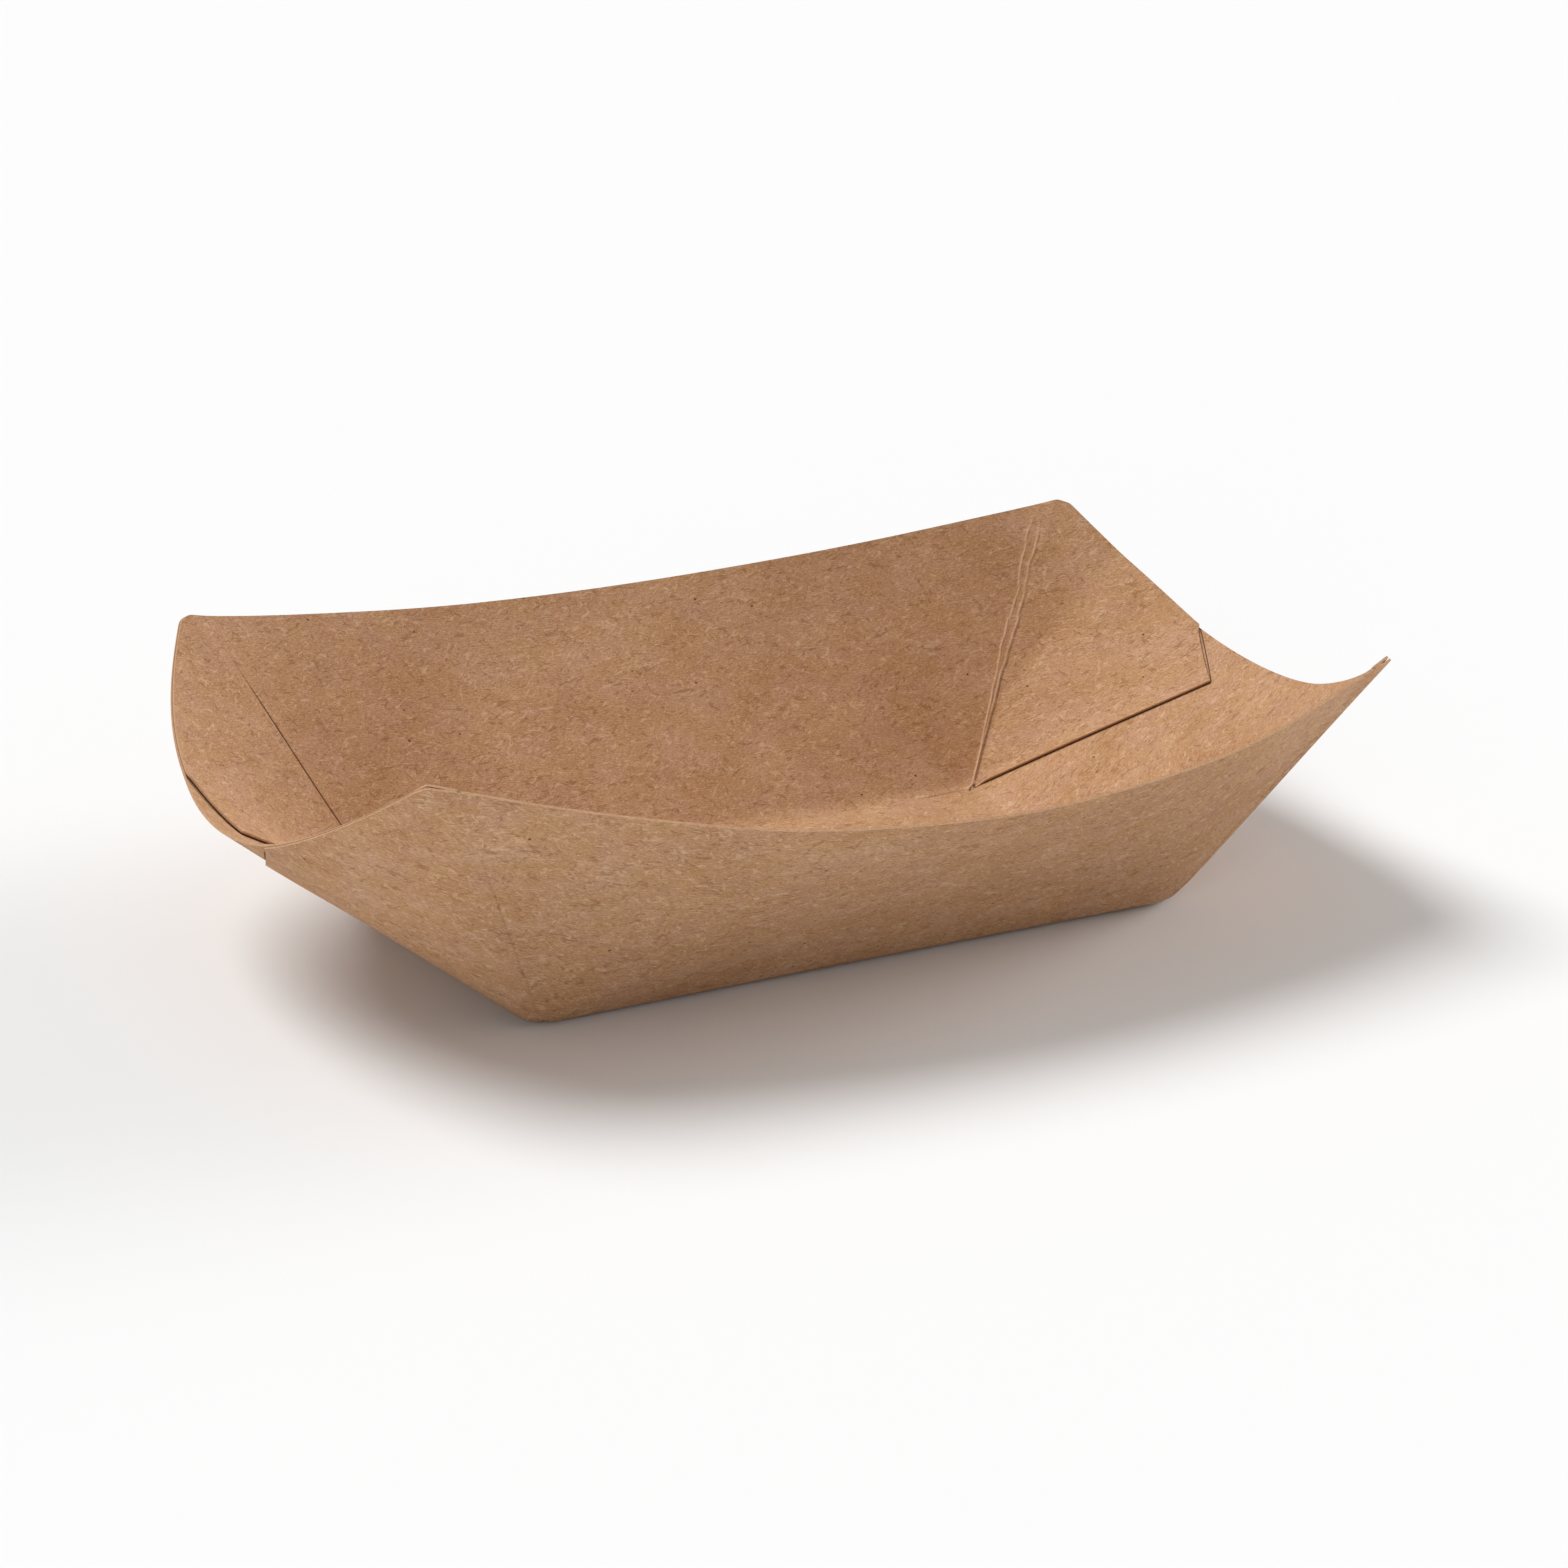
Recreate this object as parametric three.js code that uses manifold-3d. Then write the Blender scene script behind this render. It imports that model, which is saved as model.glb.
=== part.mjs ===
// Brown paper food tray: one die-cut sheet of board, folded up and glued at its four corner flaps.
// Millimetres, +Z up, +X along the tray. The origin is the middle of the floor's underside.
//
// Every wall is made of straight lines, called rulings here, that run from the fold round the floor to the rim.
// A flat triangle stands on each fold, and on both sides of it the rulings fan out from the floor's corners,
// which is how a sheet bends that can't stretch. The flaps carry the long walls on round the corners:
// the two at the back lie inside the end panels, and the two at the front lie outside them.

import * as THREE from 'three';
import * as BufferGeometryUtils from 'three/addons/utils/BufferGeometryUtils.js';
import Module from 'manifold-3d';

// Board
const BOARD = 0.45;
const FOLD_REACH = 3;

// Floor, between the folds
const FLOOR_LENGTH = 128;
const FLOOR_WIDTH = 63.4;

// Rim: its four peaks, and how far the middle of each rim stands out and hangs down from them
const PEAK_LENGTH = 188.6;
const PEAK_WIDTH = 100;
const PEAK_HEIGHT = 50.6;
const SIDE_BOW = 16.8;
const SIDE_DIP = 11.6;
const END_BOW = 13.7;
const END_DIP = 19.9;

// Height by which two opposite peaks stand up, and the other two hang, where the folded tray is out of true
const RACK = 1.8;

// Corner flaps, glued flat to the end panels
const FLAP_RIM_GAP = 36;
const FLAP_LOWER_EDGE = 52;
const FLAP_AIM = 1.5;
const FLAP_RISE = 0.4;
const FLAP_BEND = 3;
const GLUE_SINK = 0.2;

// Steps of the mesh
const SIDE_FAN_STEPS = 10;
const END_FAN_STEPS = 8;
const FOLD_LINE_STEPS = 4;
const FOLD_STEPS = 4;
const WALL_STEPS = 2;

const BACK = 1;
const FRONT = -1;
const RIGHT = 1;
const LEFT = -1;

// Rim of a long wall at u, from -1 at the left peak to 1 at the right one: a parabola in plan and in height.
function sideRim(side, u) {
  const middle = 1 - u * u;
  return new THREE.Vector3(
    (PEAK_LENGTH / 2) * u,
    side * (PEAK_WIDTH / 2 + SIDE_BOW * middle),
    PEAK_HEIGHT - SIDE_DIP * middle,
  );
}

// Rim of an end panel at t, from -1 at the front peak to 1 at the back one.
function endRim(end, t) {
  const middle = 1 - t * t;
  return new THREE.Vector3(
    end * (PEAK_LENGTH / 2 + END_BOW * middle),
    (PEAK_WIDTH / 2) * t,
    PEAK_HEIGHT - END_DIP * middle,
  );
}

// Point of the fold round the floor, with x and y given as shares of the floor's half length and half width.
function foldPoint(x, y) {
  return new THREE.Vector3((FLOOR_LENGTH / 2) * x, (FLOOR_WIDTH / 2) * y, BOARD);
}

// The same point moved in from both folds, where the floor starts to curve up.
function floorPoint(x, y) {
  return new THREE.Vector3(
    (FLOOR_LENGTH / 2 - FOLD_REACH) * x,
    (FLOOR_WIDTH / 2 - FOLD_REACH) * y,
    BOARD,
  );
}

function ruling(x, y, tip) {
  return { floor: floorPoint(x, y), foot: foldPoint(x, y), tip };
}

function steps(from, to, count) {
  return Array.from({ length: count + 1 }, (_, i) => from + ((to - from) * i) / count);
}

// Rulings of a long wall, from its left crease to its right one: a fan, the flat triangle and a fan.
function sideRulings(side) {
  return [
    ...steps(-1, 0, SIDE_FAN_STEPS).map((u) => ruling(LEFT, side, sideRim(side, u))),
    ...steps(LEFT, RIGHT, FOLD_LINE_STEPS).slice(1, -1).map((x) => ruling(x, side, sideRim(side, 0))),
    ...steps(0, 1, SIDE_FAN_STEPS).map((u) => ruling(RIGHT, side, sideRim(side, u))),
  ];
}

// Rulings of an end panel, from its back crease to its front one.
function endRulings(end) {
  return [
    ...steps(1, 0, END_FAN_STEPS).map((t) => ruling(end, BACK, endRim(end, t))),
    ...steps(BACK, FRONT, FOLD_LINE_STEPS).slice(1, -1).map((y) => ruling(end, y, endRim(end, 0))),
    ...steps(0, -1, END_FAN_STEPS).map((t) => ruling(end, FRONT, endRim(end, t))),
  ];
}

// Points up one ruling: a soft fold, which is a quadratic curve with the foot as its control point, and then
// the straight wall.
function pointsUp({ floor, foot, tip }) {
  const up = tip.clone().sub(foot).normalize();
  const bent = foot.clone().addScaledVector(up, FOLD_REACH);
  const fold = new THREE.QuadraticBezierCurve3(floor, foot, bent);
  const straight = new THREE.LineCurve3(bent, tip);
  return [...fold.getPoints(FOLD_STEPS), ...straight.getPoints(WALL_STEPS).slice(1)];
}

// Open surface through columns of points that start at the floor and follow each other clockwise from above.
// Its normals point into the tray.
function surfaceThrough(columns, closed) {
  const rows = columns[0].length;
  const vertices = columns.flat().flatMap((point) => point.toArray());
  const faces = [];
  const last = closed ? columns.length : columns.length - 1;
  for (let i = 0; i < last; i += 1) {
    const next = (i + 1) % columns.length;
    for (let j = 0; j < rows - 1; j += 1) {
      const a = i * rows + j;
      const b = next * rows + j;
      faces.push(a, b + 1, a + 1);
      faces.push(a, b, b + 1);
    }
  }
  const surface = new THREE.BufferGeometry();
  surface.setAttribute('position', new THREE.Float32BufferAttribute(vertices, 3));
  surface.setIndex(faces);
  return cleaned(surface);
}

// Merges shared vertices and drops the faces that have shrunk to a line.
function cleaned(surface) {
  const merged = BufferGeometryUtils.mergeVertices(surface, 1e-4);
  const index = merged.getIndex().array;
  const faces = [];
  for (let i = 0; i < index.length; i += 3) {
    const [a, b, c] = [index[i], index[i + 1], index[i + 2]];
    if (a !== b && b !== c && c !== a) {
      faces.push(a, b, c);
    }
  }
  merged.setIndex(faces);
  merged.computeVertexNormals();
  return merged;
}

// Inner normal of a vertex: straight up on the floor, so that the underside stays flat.
function innerNormal(surface, i, point) {
  if (point.z < BOARD + 1e-4) {
    return new THREE.Vector3(0, 0, 1);
  }
  return new THREE.Vector3().fromBufferAttribute(surface.getAttribute('normal'), i);
}

// Closed solid between two offsets of an open surface, each a distance along the inner normal at a point.
function solidBetween(surface, inner, outer) {
  const position = surface.getAttribute('position');
  const count = position.count;
  const near = [];
  const far = [];
  for (let i = 0; i < count; i += 1) {
    const point = new THREE.Vector3().fromBufferAttribute(position, i);
    const normal = innerNormal(surface, i, point);
    near.push(...point.clone().addScaledVector(normal, inner(point)).toArray());
    far.push(...point.clone().addScaledVector(normal, outer(point)).toArray());
  }
  const index = Array.from(surface.getIndex().array);
  const edges = new Set();
  const faces = [...index];
  for (let i = 0; i < index.length; i += 3) {
    const corners = [index[i], index[i + 1], index[i + 2]];
    faces.push(corners[0] + count, corners[2] + count, corners[1] + count);
    corners.forEach((from, k) => edges.add(`${from},${corners[(k + 1) % 3]}`));
  }
  for (const edge of edges) {
    const [from, to] = edge.split(',').map(Number);
    if (!edges.has(`${to},${from}`)) {
      faces.push(to, from, from + count);
      faces.push(to, from + count, to + count);
    }
  }
  return { vertices: [...near, ...far], faces };
}

// Folded sheet: floor, walls and end panels in one ring of rulings, closed by a point at the floor's middle.
function foldedSheet() {
  const ring = [
    ...sideRulings(BACK),
    ...endRulings(RIGHT).slice(1),
    ...sideRulings(FRONT).reverse().slice(1),
    ...endRulings(LEFT).reverse().slice(1, -1),
  ];
  const middle = new THREE.Vector3(0, 0, BOARD);
  const columns = ring.map((line) => [middle, ...pointsUp(line)]);
  const surface = surfaceThrough(columns, true);
  return solidBetween(surface, () => 0, () => -BOARD);
}

// Place of a flap's free edge on the ray to the end rim at t, as a share of that ray, where the edge runs
// straight from the rim to the flap's tip. It is worked out in plan.
function shareOnEdge(corner, ray, rimPoint, tip) {
  const edge = tip.clone().sub(rimPoint);
  const start = rimPoint.clone().sub(corner);
  const turn = (a, b) => a.x * b.y - a.y * b.x;
  return turn(start, edge) / turn(ray, edge);
}

// Rays of a flap from its floor corner: along the end rim from the crease, then down the free edge to the tip.
// The last ray is the lower edge. The others are rulings of the end panel, so that flap and panel lie close.
function flapTips(end, side) {
  const corner = foldPoint(end, side);
  const rimShare = FLAP_RIM_GAP / PEAK_WIDTH;
  const aimShare = FLAP_AIM / (PEAK_WIDTH / 2);
  const rayTo = (t) => endRim(end, side * t).sub(corner);
  const tip = rayTo(aimShare).setLength(FLAP_LOWER_EDGE).add(corner);
  const rimPoint = endRim(end, side * rimShare);
  const panelSteps = steps(1, 0, END_FAN_STEPS);
  const alongRim = [...panelSteps.filter((t) => t > rimShare), rimShare].map((t) => {
    const ray = rayTo(t);
    return ray.setLength(ray.length() + FLAP_RISE).add(corner);
  });
  const betweenShares = panelSteps.filter((t) => t < rimShare && t > aimShare);
  const alongEdge = [...betweenShares, aimShare].map((t) => {
    const ray = rayTo(t);
    return ray.multiplyScalar(shareOnEdge(corner, ray, rimPoint, tip)).add(corner);
  });
  return [...alongRim, ...alongEdge];
}

// One corner flap. It starts where the soft fold ends, grows out of the board at the crease and lies on the end
// panel from there on: on its inner face at the back, and on its outer face at the front.
function cornerFlap(end, side) {
  const corner = foldPoint(end, side);
  const tips = flapTips(end, side);
  const columns = tips.map((tip) => pointsUp(ruling(end, side, tip)).slice(FOLD_STEPS));
  if (end !== side) {
    columns.reverse();
  }
  const surface = surfaceThrough(columns, false);
  const crease = tips[0].clone().sub(corner).normalize();
  const lift = (point) => {
    const arm = point.clone().sub(corner);
    const fromCrease = arm.clone().addScaledVector(crease, -arm.dot(crease)).length();
    const share = Math.min(1, fromCrease / FLAP_BEND);
    return BOARD * share - (GLUE_SINK / 2) * (1 - share);
  };
  if (side === BACK) {
    return solidBetween(surface, lift, () => -GLUE_SINK);
  }
  return solidBetween(surface, () => GLUE_SINK - BOARD, (point) => -BOARD - lift(point));
}

// Moves the vertices as racking does: opposite corners up and down, more with height, and the floor not at all.
function racked(vertices) {
  const moved = Float32Array.from(vertices);
  for (let i = 0; i < moved.length; i += 3) {
    const lengthShare = moved[i] / (PEAK_LENGTH / 2);
    const widthShare = moved[i + 1] / (PEAK_WIDTH / 2);
    const heightShare = Math.max(0, moved[i + 2] - BOARD) / PEAK_HEIGHT;
    moved[i + 2] += RACK * lengthShare * widthShare * heightShare;
  }
  return moved;
}

const wasm = await Module();
wasm.setup();

function asManifold({ vertices, faces }) {
  return new wasm.Manifold(new wasm.Mesh({
    numProp: 3,
    vertProperties: Float32Array.from(vertices),
    triVerts: Uint32Array.from(faces),
  }));
}

function glued() {
  let solid = asManifold(foldedSheet());
  for (const end of [LEFT, RIGHT]) {
    for (const side of [FRONT, BACK]) {
      solid = solid.add(asManifold(cornerFlap(end, side)));
    }
  }
  const { vertProperties, triVerts } = solid.getMesh();
  const geometry = new THREE.BufferGeometry();
  geometry.setAttribute('position', new THREE.BufferAttribute(racked(vertProperties), 3));
  geometry.setIndex(new THREE.BufferAttribute(triVerts, 1));
  geometry.computeVertexNormals();
  return geometry;
}

const brownBoard = new THREE.MeshStandardMaterial({ color: 0xae8460, roughness: 0.88, metalness: 0 });
const foldedTray = new THREE.Mesh(glued(), brownBoard);
foldedTray.name = 'folded_tray';

const tray = new THREE.Group();
tray.add(foldedTray);

export default tray;
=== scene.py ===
"""Brown paper food tray: the folded sheet's fine surface, its board and the studio round it.

Every wall is made of straight rulings that run from the fold round the floor to the rim. A flat triangle
stands on each fold and cones fan out from the floor's corners, so the sheet unrolls without a stretch. That
unrolled sheet, called the blank here, is the UV map, and every pattern of the board is drawn in it.
"""

import logging
import math
from collections.abc import Callable
from dataclasses import dataclass, field
from enum import Enum

import bpy
import numpy as np
from mathutils import Matrix, Vector


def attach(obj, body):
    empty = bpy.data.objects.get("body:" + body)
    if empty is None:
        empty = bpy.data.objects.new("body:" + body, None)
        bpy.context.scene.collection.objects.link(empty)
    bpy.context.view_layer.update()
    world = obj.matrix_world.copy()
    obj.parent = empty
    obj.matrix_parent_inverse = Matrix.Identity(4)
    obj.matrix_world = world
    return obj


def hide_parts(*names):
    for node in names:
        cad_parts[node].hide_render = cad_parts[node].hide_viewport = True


LOG = logging.getLogger("paper_tray")
MM = 0.001
CAD_NODE = "folded_tray"

# Shift of the outer faces in the blank, so that their pattern isn't the inner one, in metres.
OUTSIDE_SHIFT = np.array([0.5, 0.31])

# Points closer than this are one point, in metres.
WELD = 1e-7

# Smallest length that a vector is divided by.
TINY = 1e-20

# Floor height of a shell that has no floor, in metres.
NO_FLOOR = -1.0

# Depth of the cut edges in the blank, in metres.
EDGE_DEPTH = 0.4 * MM

# Edges that turn more than this are sharp.
SHARP_ANGLE = math.radians(50.0)

# Ridge wander: height and length of each wave in millimetres, and how the seed shifts it.
RIDGE_WAVES = ((0.16, 2.9, 1.0), (0.13, 1.27, 2.1), (0.10, 0.71, 0.7), (0.12, 6.1, 3.3))

# Ridge jogs: step, place and width in millimetres, and how the seed shifts the place.
RIDGE_JOGS = ((0.35, 34.5, 0.9, 1.0), (-0.30, 44.0, 1.4, -1.0))

# Share of a flap's rays down the end rim over which its rise grows.
RISE_SHARE = 1.0 / 6.0

# Relief that one unit of height stands for in the materials, in metres.
BUMP_DEPTH = 0.06 * MM

# Shift of a pattern across and in depth, as shares of its shift along.
ACROSS_SHIFT, DEPTH_SHIFT = 1.7, 0.3

# Detail, roughness and distortion of the clouds whose contour lines are the fibres.
HAIR_CLOUD = (1.0, 0.4, 0.6)

# Patches that fibres gather in: clouds to a millimetre, their detail and roughness, their shift from the
# fibres, and the softness of their edge.
PATCH_SCALE = (0.42, 0.7)
PATCH_CLOUD = (1.0, 0.5)
PATCH_SHIFT = 31.0
PATCH_EDGE = 0.05

# Sockets of a Mix node that take the factor and the two colours, and the one that gives the mixed colour.
MIX_INPUTS = (0, 6, 7)
MIX_RESULT = 2

# Range that a cloud's value keeps to nearly everywhere.
CLOUD_RANGE = (0.25, 0.75)

Colour = tuple[int, int, int]
Socket = bpy.types.NodeSocket
Source = Socket | float | tuple[float, ...]


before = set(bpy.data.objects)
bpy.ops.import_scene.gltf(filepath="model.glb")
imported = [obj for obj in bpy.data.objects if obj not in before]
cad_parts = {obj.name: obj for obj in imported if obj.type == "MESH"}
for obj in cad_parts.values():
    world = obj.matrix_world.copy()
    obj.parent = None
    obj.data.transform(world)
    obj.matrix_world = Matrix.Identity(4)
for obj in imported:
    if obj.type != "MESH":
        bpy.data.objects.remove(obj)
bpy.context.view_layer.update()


class Side(Enum):
    """The two long walls, by the sign of Y."""

    FRONT = -1
    BACK = 1


class End(Enum):
    """The two end panels, by the sign of X."""

    LEFT = -1
    RIGHT = 1


@dataclass(frozen=True)
class TraySizes:
    """Sizes of the folded tray, in metres."""

    board: float = 0.45 * MM
    fold_reach: float = 3.0 * MM
    floor_length: float = 128.0 * MM
    floor_width: float = 63.4 * MM
    peak_length: float = 188.6 * MM
    peak_width: float = 100.0 * MM
    peak_height: float = 50.6 * MM
    side_bow: float = 16.8 * MM
    side_dip: float = 11.6 * MM
    end_bow: float = 13.7 * MM
    end_dip: float = 19.9 * MM
    end_swell: float = 0.7 * MM
    rack: float = 1.8 * MM
    crease_inset: float = 4.3 * MM
    flap_rim_gap: float = 36.0 * MM
    flap_lower_edge: float = 52.0 * MM
    flap_aim: float = 1.5 * MM
    flap_rise: float = 0.4 * MM
    corner_trims: tuple[float, float] = (0.10 * MM, 0.5 * MM)
    corner_reach: float = 1.9 * MM


@dataclass(frozen=True)
class Wall:
    """One wall in plan axes of its own: along its fold, clockwise seen from above, and outwards."""

    along: tuple[float, float]
    outward: tuple[float, float]
    fold_half: float
    fold_out: float
    peak_half: float
    peak_out: float
    peak_height: float
    bow: float
    dip: float
    board: float
    reach: float
    swell: float = 0.0
    swell_end: float = 0.36

    def plan(self, along: np.ndarray, out: np.ndarray) -> np.ndarray:
        """Turns the wall's own plan axes to X and Y.

        Args:
            along: Distances along the fold from its middle.
            out: Distances outwards from the tray's middle.

        Returns:
            Points in plan, one row each.
        """
        along, out = np.broadcast_arrays(np.asarray(along, float), np.asarray(out, float))
        return along[..., None] * np.array(self.along) + out[..., None] * np.array(self.outward)

    def rim(self, share: np.ndarray) -> np.ndarray:
        """Gives the rim: a parabola in plan and in height, with its ends at the two peaks.

        Where a flap backs it, the rim swells along the rays by swell sin(pi s), with s from 0 to 1 over
        that part.

        Args:
            share: Places along the rim, from -1 at the first peak to 1 at the second.

        Returns:
            Points on the rim, one row each.
        """
        share = np.atleast_1d(np.asarray(share, float))
        middle = 1.0 - share**2
        flat = self.plan(self.peak_half * share, self.peak_out + self.bow * middle)
        points = np.column_stack([flat, self.peak_height - self.dip * middle])
        if self.swell:
            rays = points - self.fold(np.sign(share))
            rays /= np.linalg.norm(rays, axis=1)[:, None]
            span = np.clip((np.abs(share) - self.swell_end) / (1.0 - self.swell_end), 0.0, 1.0)
            points += rays * (self.swell * np.sin(math.pi * span))[:, None]
        return points

    def fold(self, share: np.ndarray) -> np.ndarray:
        """Gives points of the straight fold, with share from -1 to 1 between the floor's corners.

        Args:
            share: Places along the fold.

        Returns:
            Points on the fold, one row each.
        """
        share = np.atleast_1d(np.asarray(share, float))
        flat = self.plan(self.fold_half * share, np.full_like(share, self.fold_out))
        return np.column_stack([flat, np.full(len(share), self.board)])

    def floor(self, share: np.ndarray) -> np.ndarray:
        """Gives the points where the floor starts to curve up, moved in from both folds.

        Args:
            share: Places along the fold.

        Returns:
            Points on the floor, one row each.
        """
        share = np.atleast_1d(np.asarray(share, float))
        out = np.full_like(share, self.fold_out - self.reach)
        flat = self.plan((self.fold_half - self.reach) * share, out)
        return np.column_stack([flat, np.full(len(share), self.board)])

    def headings(self, corner: float, tips: np.ndarray) -> np.ndarray:
        """Unrolls rays from a floor corner: headings in the blank, as angles from the along axis.

        The flat triangle fixes the first heading, towards the middle of the rim. Each further one turns by
        the angle between neighbouring rays, which is what a cone does when it is laid flat.

        Args:
            corner: 1 or -1, the end of the fold.
            tips: Ends of the rays, in order from the middle of the rim outwards.

        Returns:
            One angle for each ray.
        """
        foot = self.fold(corner)
        middle = self.rim(0.0)[0]
        slant = np.linalg.norm(middle - self.fold(0.0)[0])
        first = math.atan2(slant, -self.fold_half * corner)
        rays = np.vstack([middle[None], tips]) - foot
        rays /= np.linalg.norm(rays, axis=1)[:, None]
        turns = np.arccos(np.clip(np.sum(rays[1:] * rays[:-1], axis=1), -1.0, 1.0))
        return first - corner * np.cumsum(turns)


@dataclass
class Rulings:
    """Rulings in order: where each leaves the floor, its foot on the fold and its tip, and their blank."""

    floor: np.ndarray
    foot: np.ndarray
    tip: np.ndarray
    floor_flat: np.ndarray
    foot_flat: np.ndarray
    heading: np.ndarray

    @staticmethod
    def joined(parts: list["Rulings"]) -> "Rulings":
        """Joins sets of rulings end to end."""
        return Rulings(*[np.concatenate(values) for values in zip(*[part.arrays() for part in parts])])

    def arrays(self) -> tuple[np.ndarray, ...]:
        """Gives the arrays in the order of the fields."""
        return self.floor, self.foot, self.tip, self.floor_flat, self.foot_flat, self.heading

    def after(self, count: int) -> "Rulings":
        """Gives the rulings without the first ones."""
        return Rulings(*[values[count:] for values in self.arrays()])


@dataclass(frozen=True)
class Stroke:
    """Line of painted shade in the blank, such as in a slit, or the painted shadow under a cut edge."""

    start: np.ndarray
    end: np.ndarray
    half: float
    strength: float

    def line(self) -> tuple[np.ndarray, float, float]:
        """Gives the stroke's middle, its length and its direction as an angle."""
        step = self.end - self.start
        return 0.5 * (self.start + self.end), float(np.hypot(*step)), math.atan2(step[1], step[0])


@dataclass
class Patch:
    """Grid of surface points, columns by rows, with their places in the blank."""

    points: np.ndarray
    flat: np.ndarray


def corner_rays(wall: Wall, corner: float, tips: np.ndarray) -> Rulings:
    """Makes rulings that fan out from one floor corner.

    Args:
        wall: The wall whose blank the fan unrolls with.
        corner: 1 or -1, the end of the fold.
        tips: Ends of the rays, in order from the middle of the rim outwards.

    Returns:
        The fan's rulings in the same order.
    """
    count = len(tips)
    foot = np.repeat(wall.fold(corner), count, axis=0)
    floor = np.repeat(wall.floor(corner), count, axis=0)
    local = wall.headings(corner, tips)
    return Rulings(floor, foot, tips, floor[:, :2], foot[:, :2], local)


def reversed_rulings(part: Rulings) -> Rulings:
    """Gives the same rulings in the opposite order."""
    return Rulings(*[values[::-1] for values in part.arrays()])


def rounded_tips(
    tips: np.ndarray, foot: np.ndarray, peak: np.ndarray, trims: tuple[float, float], reach: float
) -> np.ndarray:
    """Rounds the sheet's corner at a peak by shortening the rays near it.

    A ray at the distance s from the peak loses t (1 - s/reach)^2, with t the trim there, and none beyond
    the reach.

    Args:
        tips: Ends of the rays.
        foot: Where the rays start.
        peak: The sharp corner.
        trims: What the corner itself loses at the front and at the back.
        reach: Distance at which the rounding starts.

    Returns:
        The moved ends.
    """
    away = np.linalg.norm(tips - peak, axis=1)
    cut = trims[int(peak[1] > 0)] * np.maximum(0.0, 1.0 - away / reach) ** 2
    rays = tips - foot
    return tips - rays / np.linalg.norm(rays, axis=1)[:, None] * cut[:, None]


def wall_rulings(
    wall: Wall, shares: np.ndarray, fold_steps: int, trims: tuple[float, float], reach: float
) -> Rulings:
    """Makes a whole wall's rulings: a fan, the flat triangle on the fold, and a fan.

    Args:
        wall: The wall.
        shares: Places along half the rim, from 0 at its middle to 1 at the peak.
        fold_steps: Steps along the fold under the triangle.
        trims: What the sheet's corners lose at the front and back peaks.
        reach: Distance at which that rounding starts.

    Returns:
        The rulings, clockwise seen from above.
    """
    fans = []
    for corner in (-1.0, 1.0):
        foot, peak = wall.fold(corner)[0], wall.rim(corner)[0]
        tips = rounded_tips(wall.rim(corner * shares), foot, peak, trims, reach)
        fans.append(corner_rays(wall, corner, tips))
    first, last = reversed_rulings(fans[0]), fans[1]
    feet = np.linspace(-1.0, 1.0, fold_steps + 1)[1:-1]
    foot = wall.fold(feet)
    floor = wall.floor(feet)
    tip = np.repeat(wall.rim(0.0), len(feet), axis=0)
    slant = np.linalg.norm(wall.rim(0.0)[0] - wall.fold(0.0)[0])
    heading = np.arctan2(np.full(len(feet), slant), -wall.fold_half * feet)
    triangle = Rulings(floor, foot, tip, floor[:, :2], foot[:, :2], heading)
    return Rulings.joined([first, triangle, last])


def patch_of(wall: Wall, lines: Rulings, floor_rows: int, fold_rows: int, wall_rows: int) -> Patch:
    """Runs rows up a set of rulings: floor, soft fold and straight wall.

    The floor runs straight from the tray's middle. The fold is the quadratic curve
    (1-s)^2 F + 2s(1-s) C + s^2 B from the floor F to the wall B, with the fold's sharp corner C as its
    control point. The wall is a straight line. The blank repeats each formula with flat points.

    Args:
        wall: The wall that the rulings belong to.
        lines: The rulings.
        floor_rows: Rows between the tray's middle and the fold, or 0 for none.
        fold_rows: Steps round the fold.
        wall_rows: Steps up the wall.

    Returns:
        The grid of points.
    """
    length = np.linalg.norm(lines.tip - lines.foot, axis=1)
    up = (lines.tip - lines.foot) / length[:, None]
    aim = wall.plan(np.cos(lines.heading), np.sin(lines.heading))
    bent = lines.foot + wall.reach * up
    bent_flat = lines.foot_flat + wall.reach * aim
    tip_flat = lines.foot_flat + length[:, None] * aim
    bend = np.linspace(0.0, 1.0, fold_rows + 1)[None, :, None]
    climb = np.linspace(0.0, 1.0, wall_rows + 1)[None, 1:, None]

    def rows(floor: np.ndarray, foot: np.ndarray, start: np.ndarray, tip: np.ndarray) -> np.ndarray:
        """Gives the fold's and the wall's rows for points in space or in the blank.

        Args:
            floor: Where each ruling leaves the floor.
            foot: The fold's sharp corner on each ruling.
            start: Where each ruling's wall starts.
            tip: End of each ruling.

        Returns:
            The points, rulings by rows.
        """
        floor, foot, start, tip = (part[:, None] for part in (floor, foot, start, tip))
        fold = (1 - bend) ** 2 * floor + 2 * bend * (1 - bend) * foot + bend**2 * start
        return np.concatenate([fold, start + climb * (tip - start)], axis=1)

    points = rows(lines.floor, lines.foot, bent, lines.tip)
    flat = rows(lines.floor_flat, lines.foot_flat, bent_flat, tip_flat)
    if floor_rows:
        inwards = np.linspace(0.0, 1.0, floor_rows + 1)[None, :-1, None]
        middle = np.array([0.0, 0.0, wall.board])
        level = middle + inwards * (lines.floor[:, None] - middle)
        points = np.concatenate([level, points], axis=1)
        flat = np.concatenate([level[..., :2], flat], axis=1)
    return Patch(points, flat)


@dataclass
class Shell:
    """Closed thin solid grown from a surface, as arrays ready for a mesh."""

    vertices: np.ndarray
    faces: np.ndarray
    flat: np.ndarray
    edge_faces: np.ndarray
    wear: np.ndarray
    shade: np.ndarray


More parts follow.
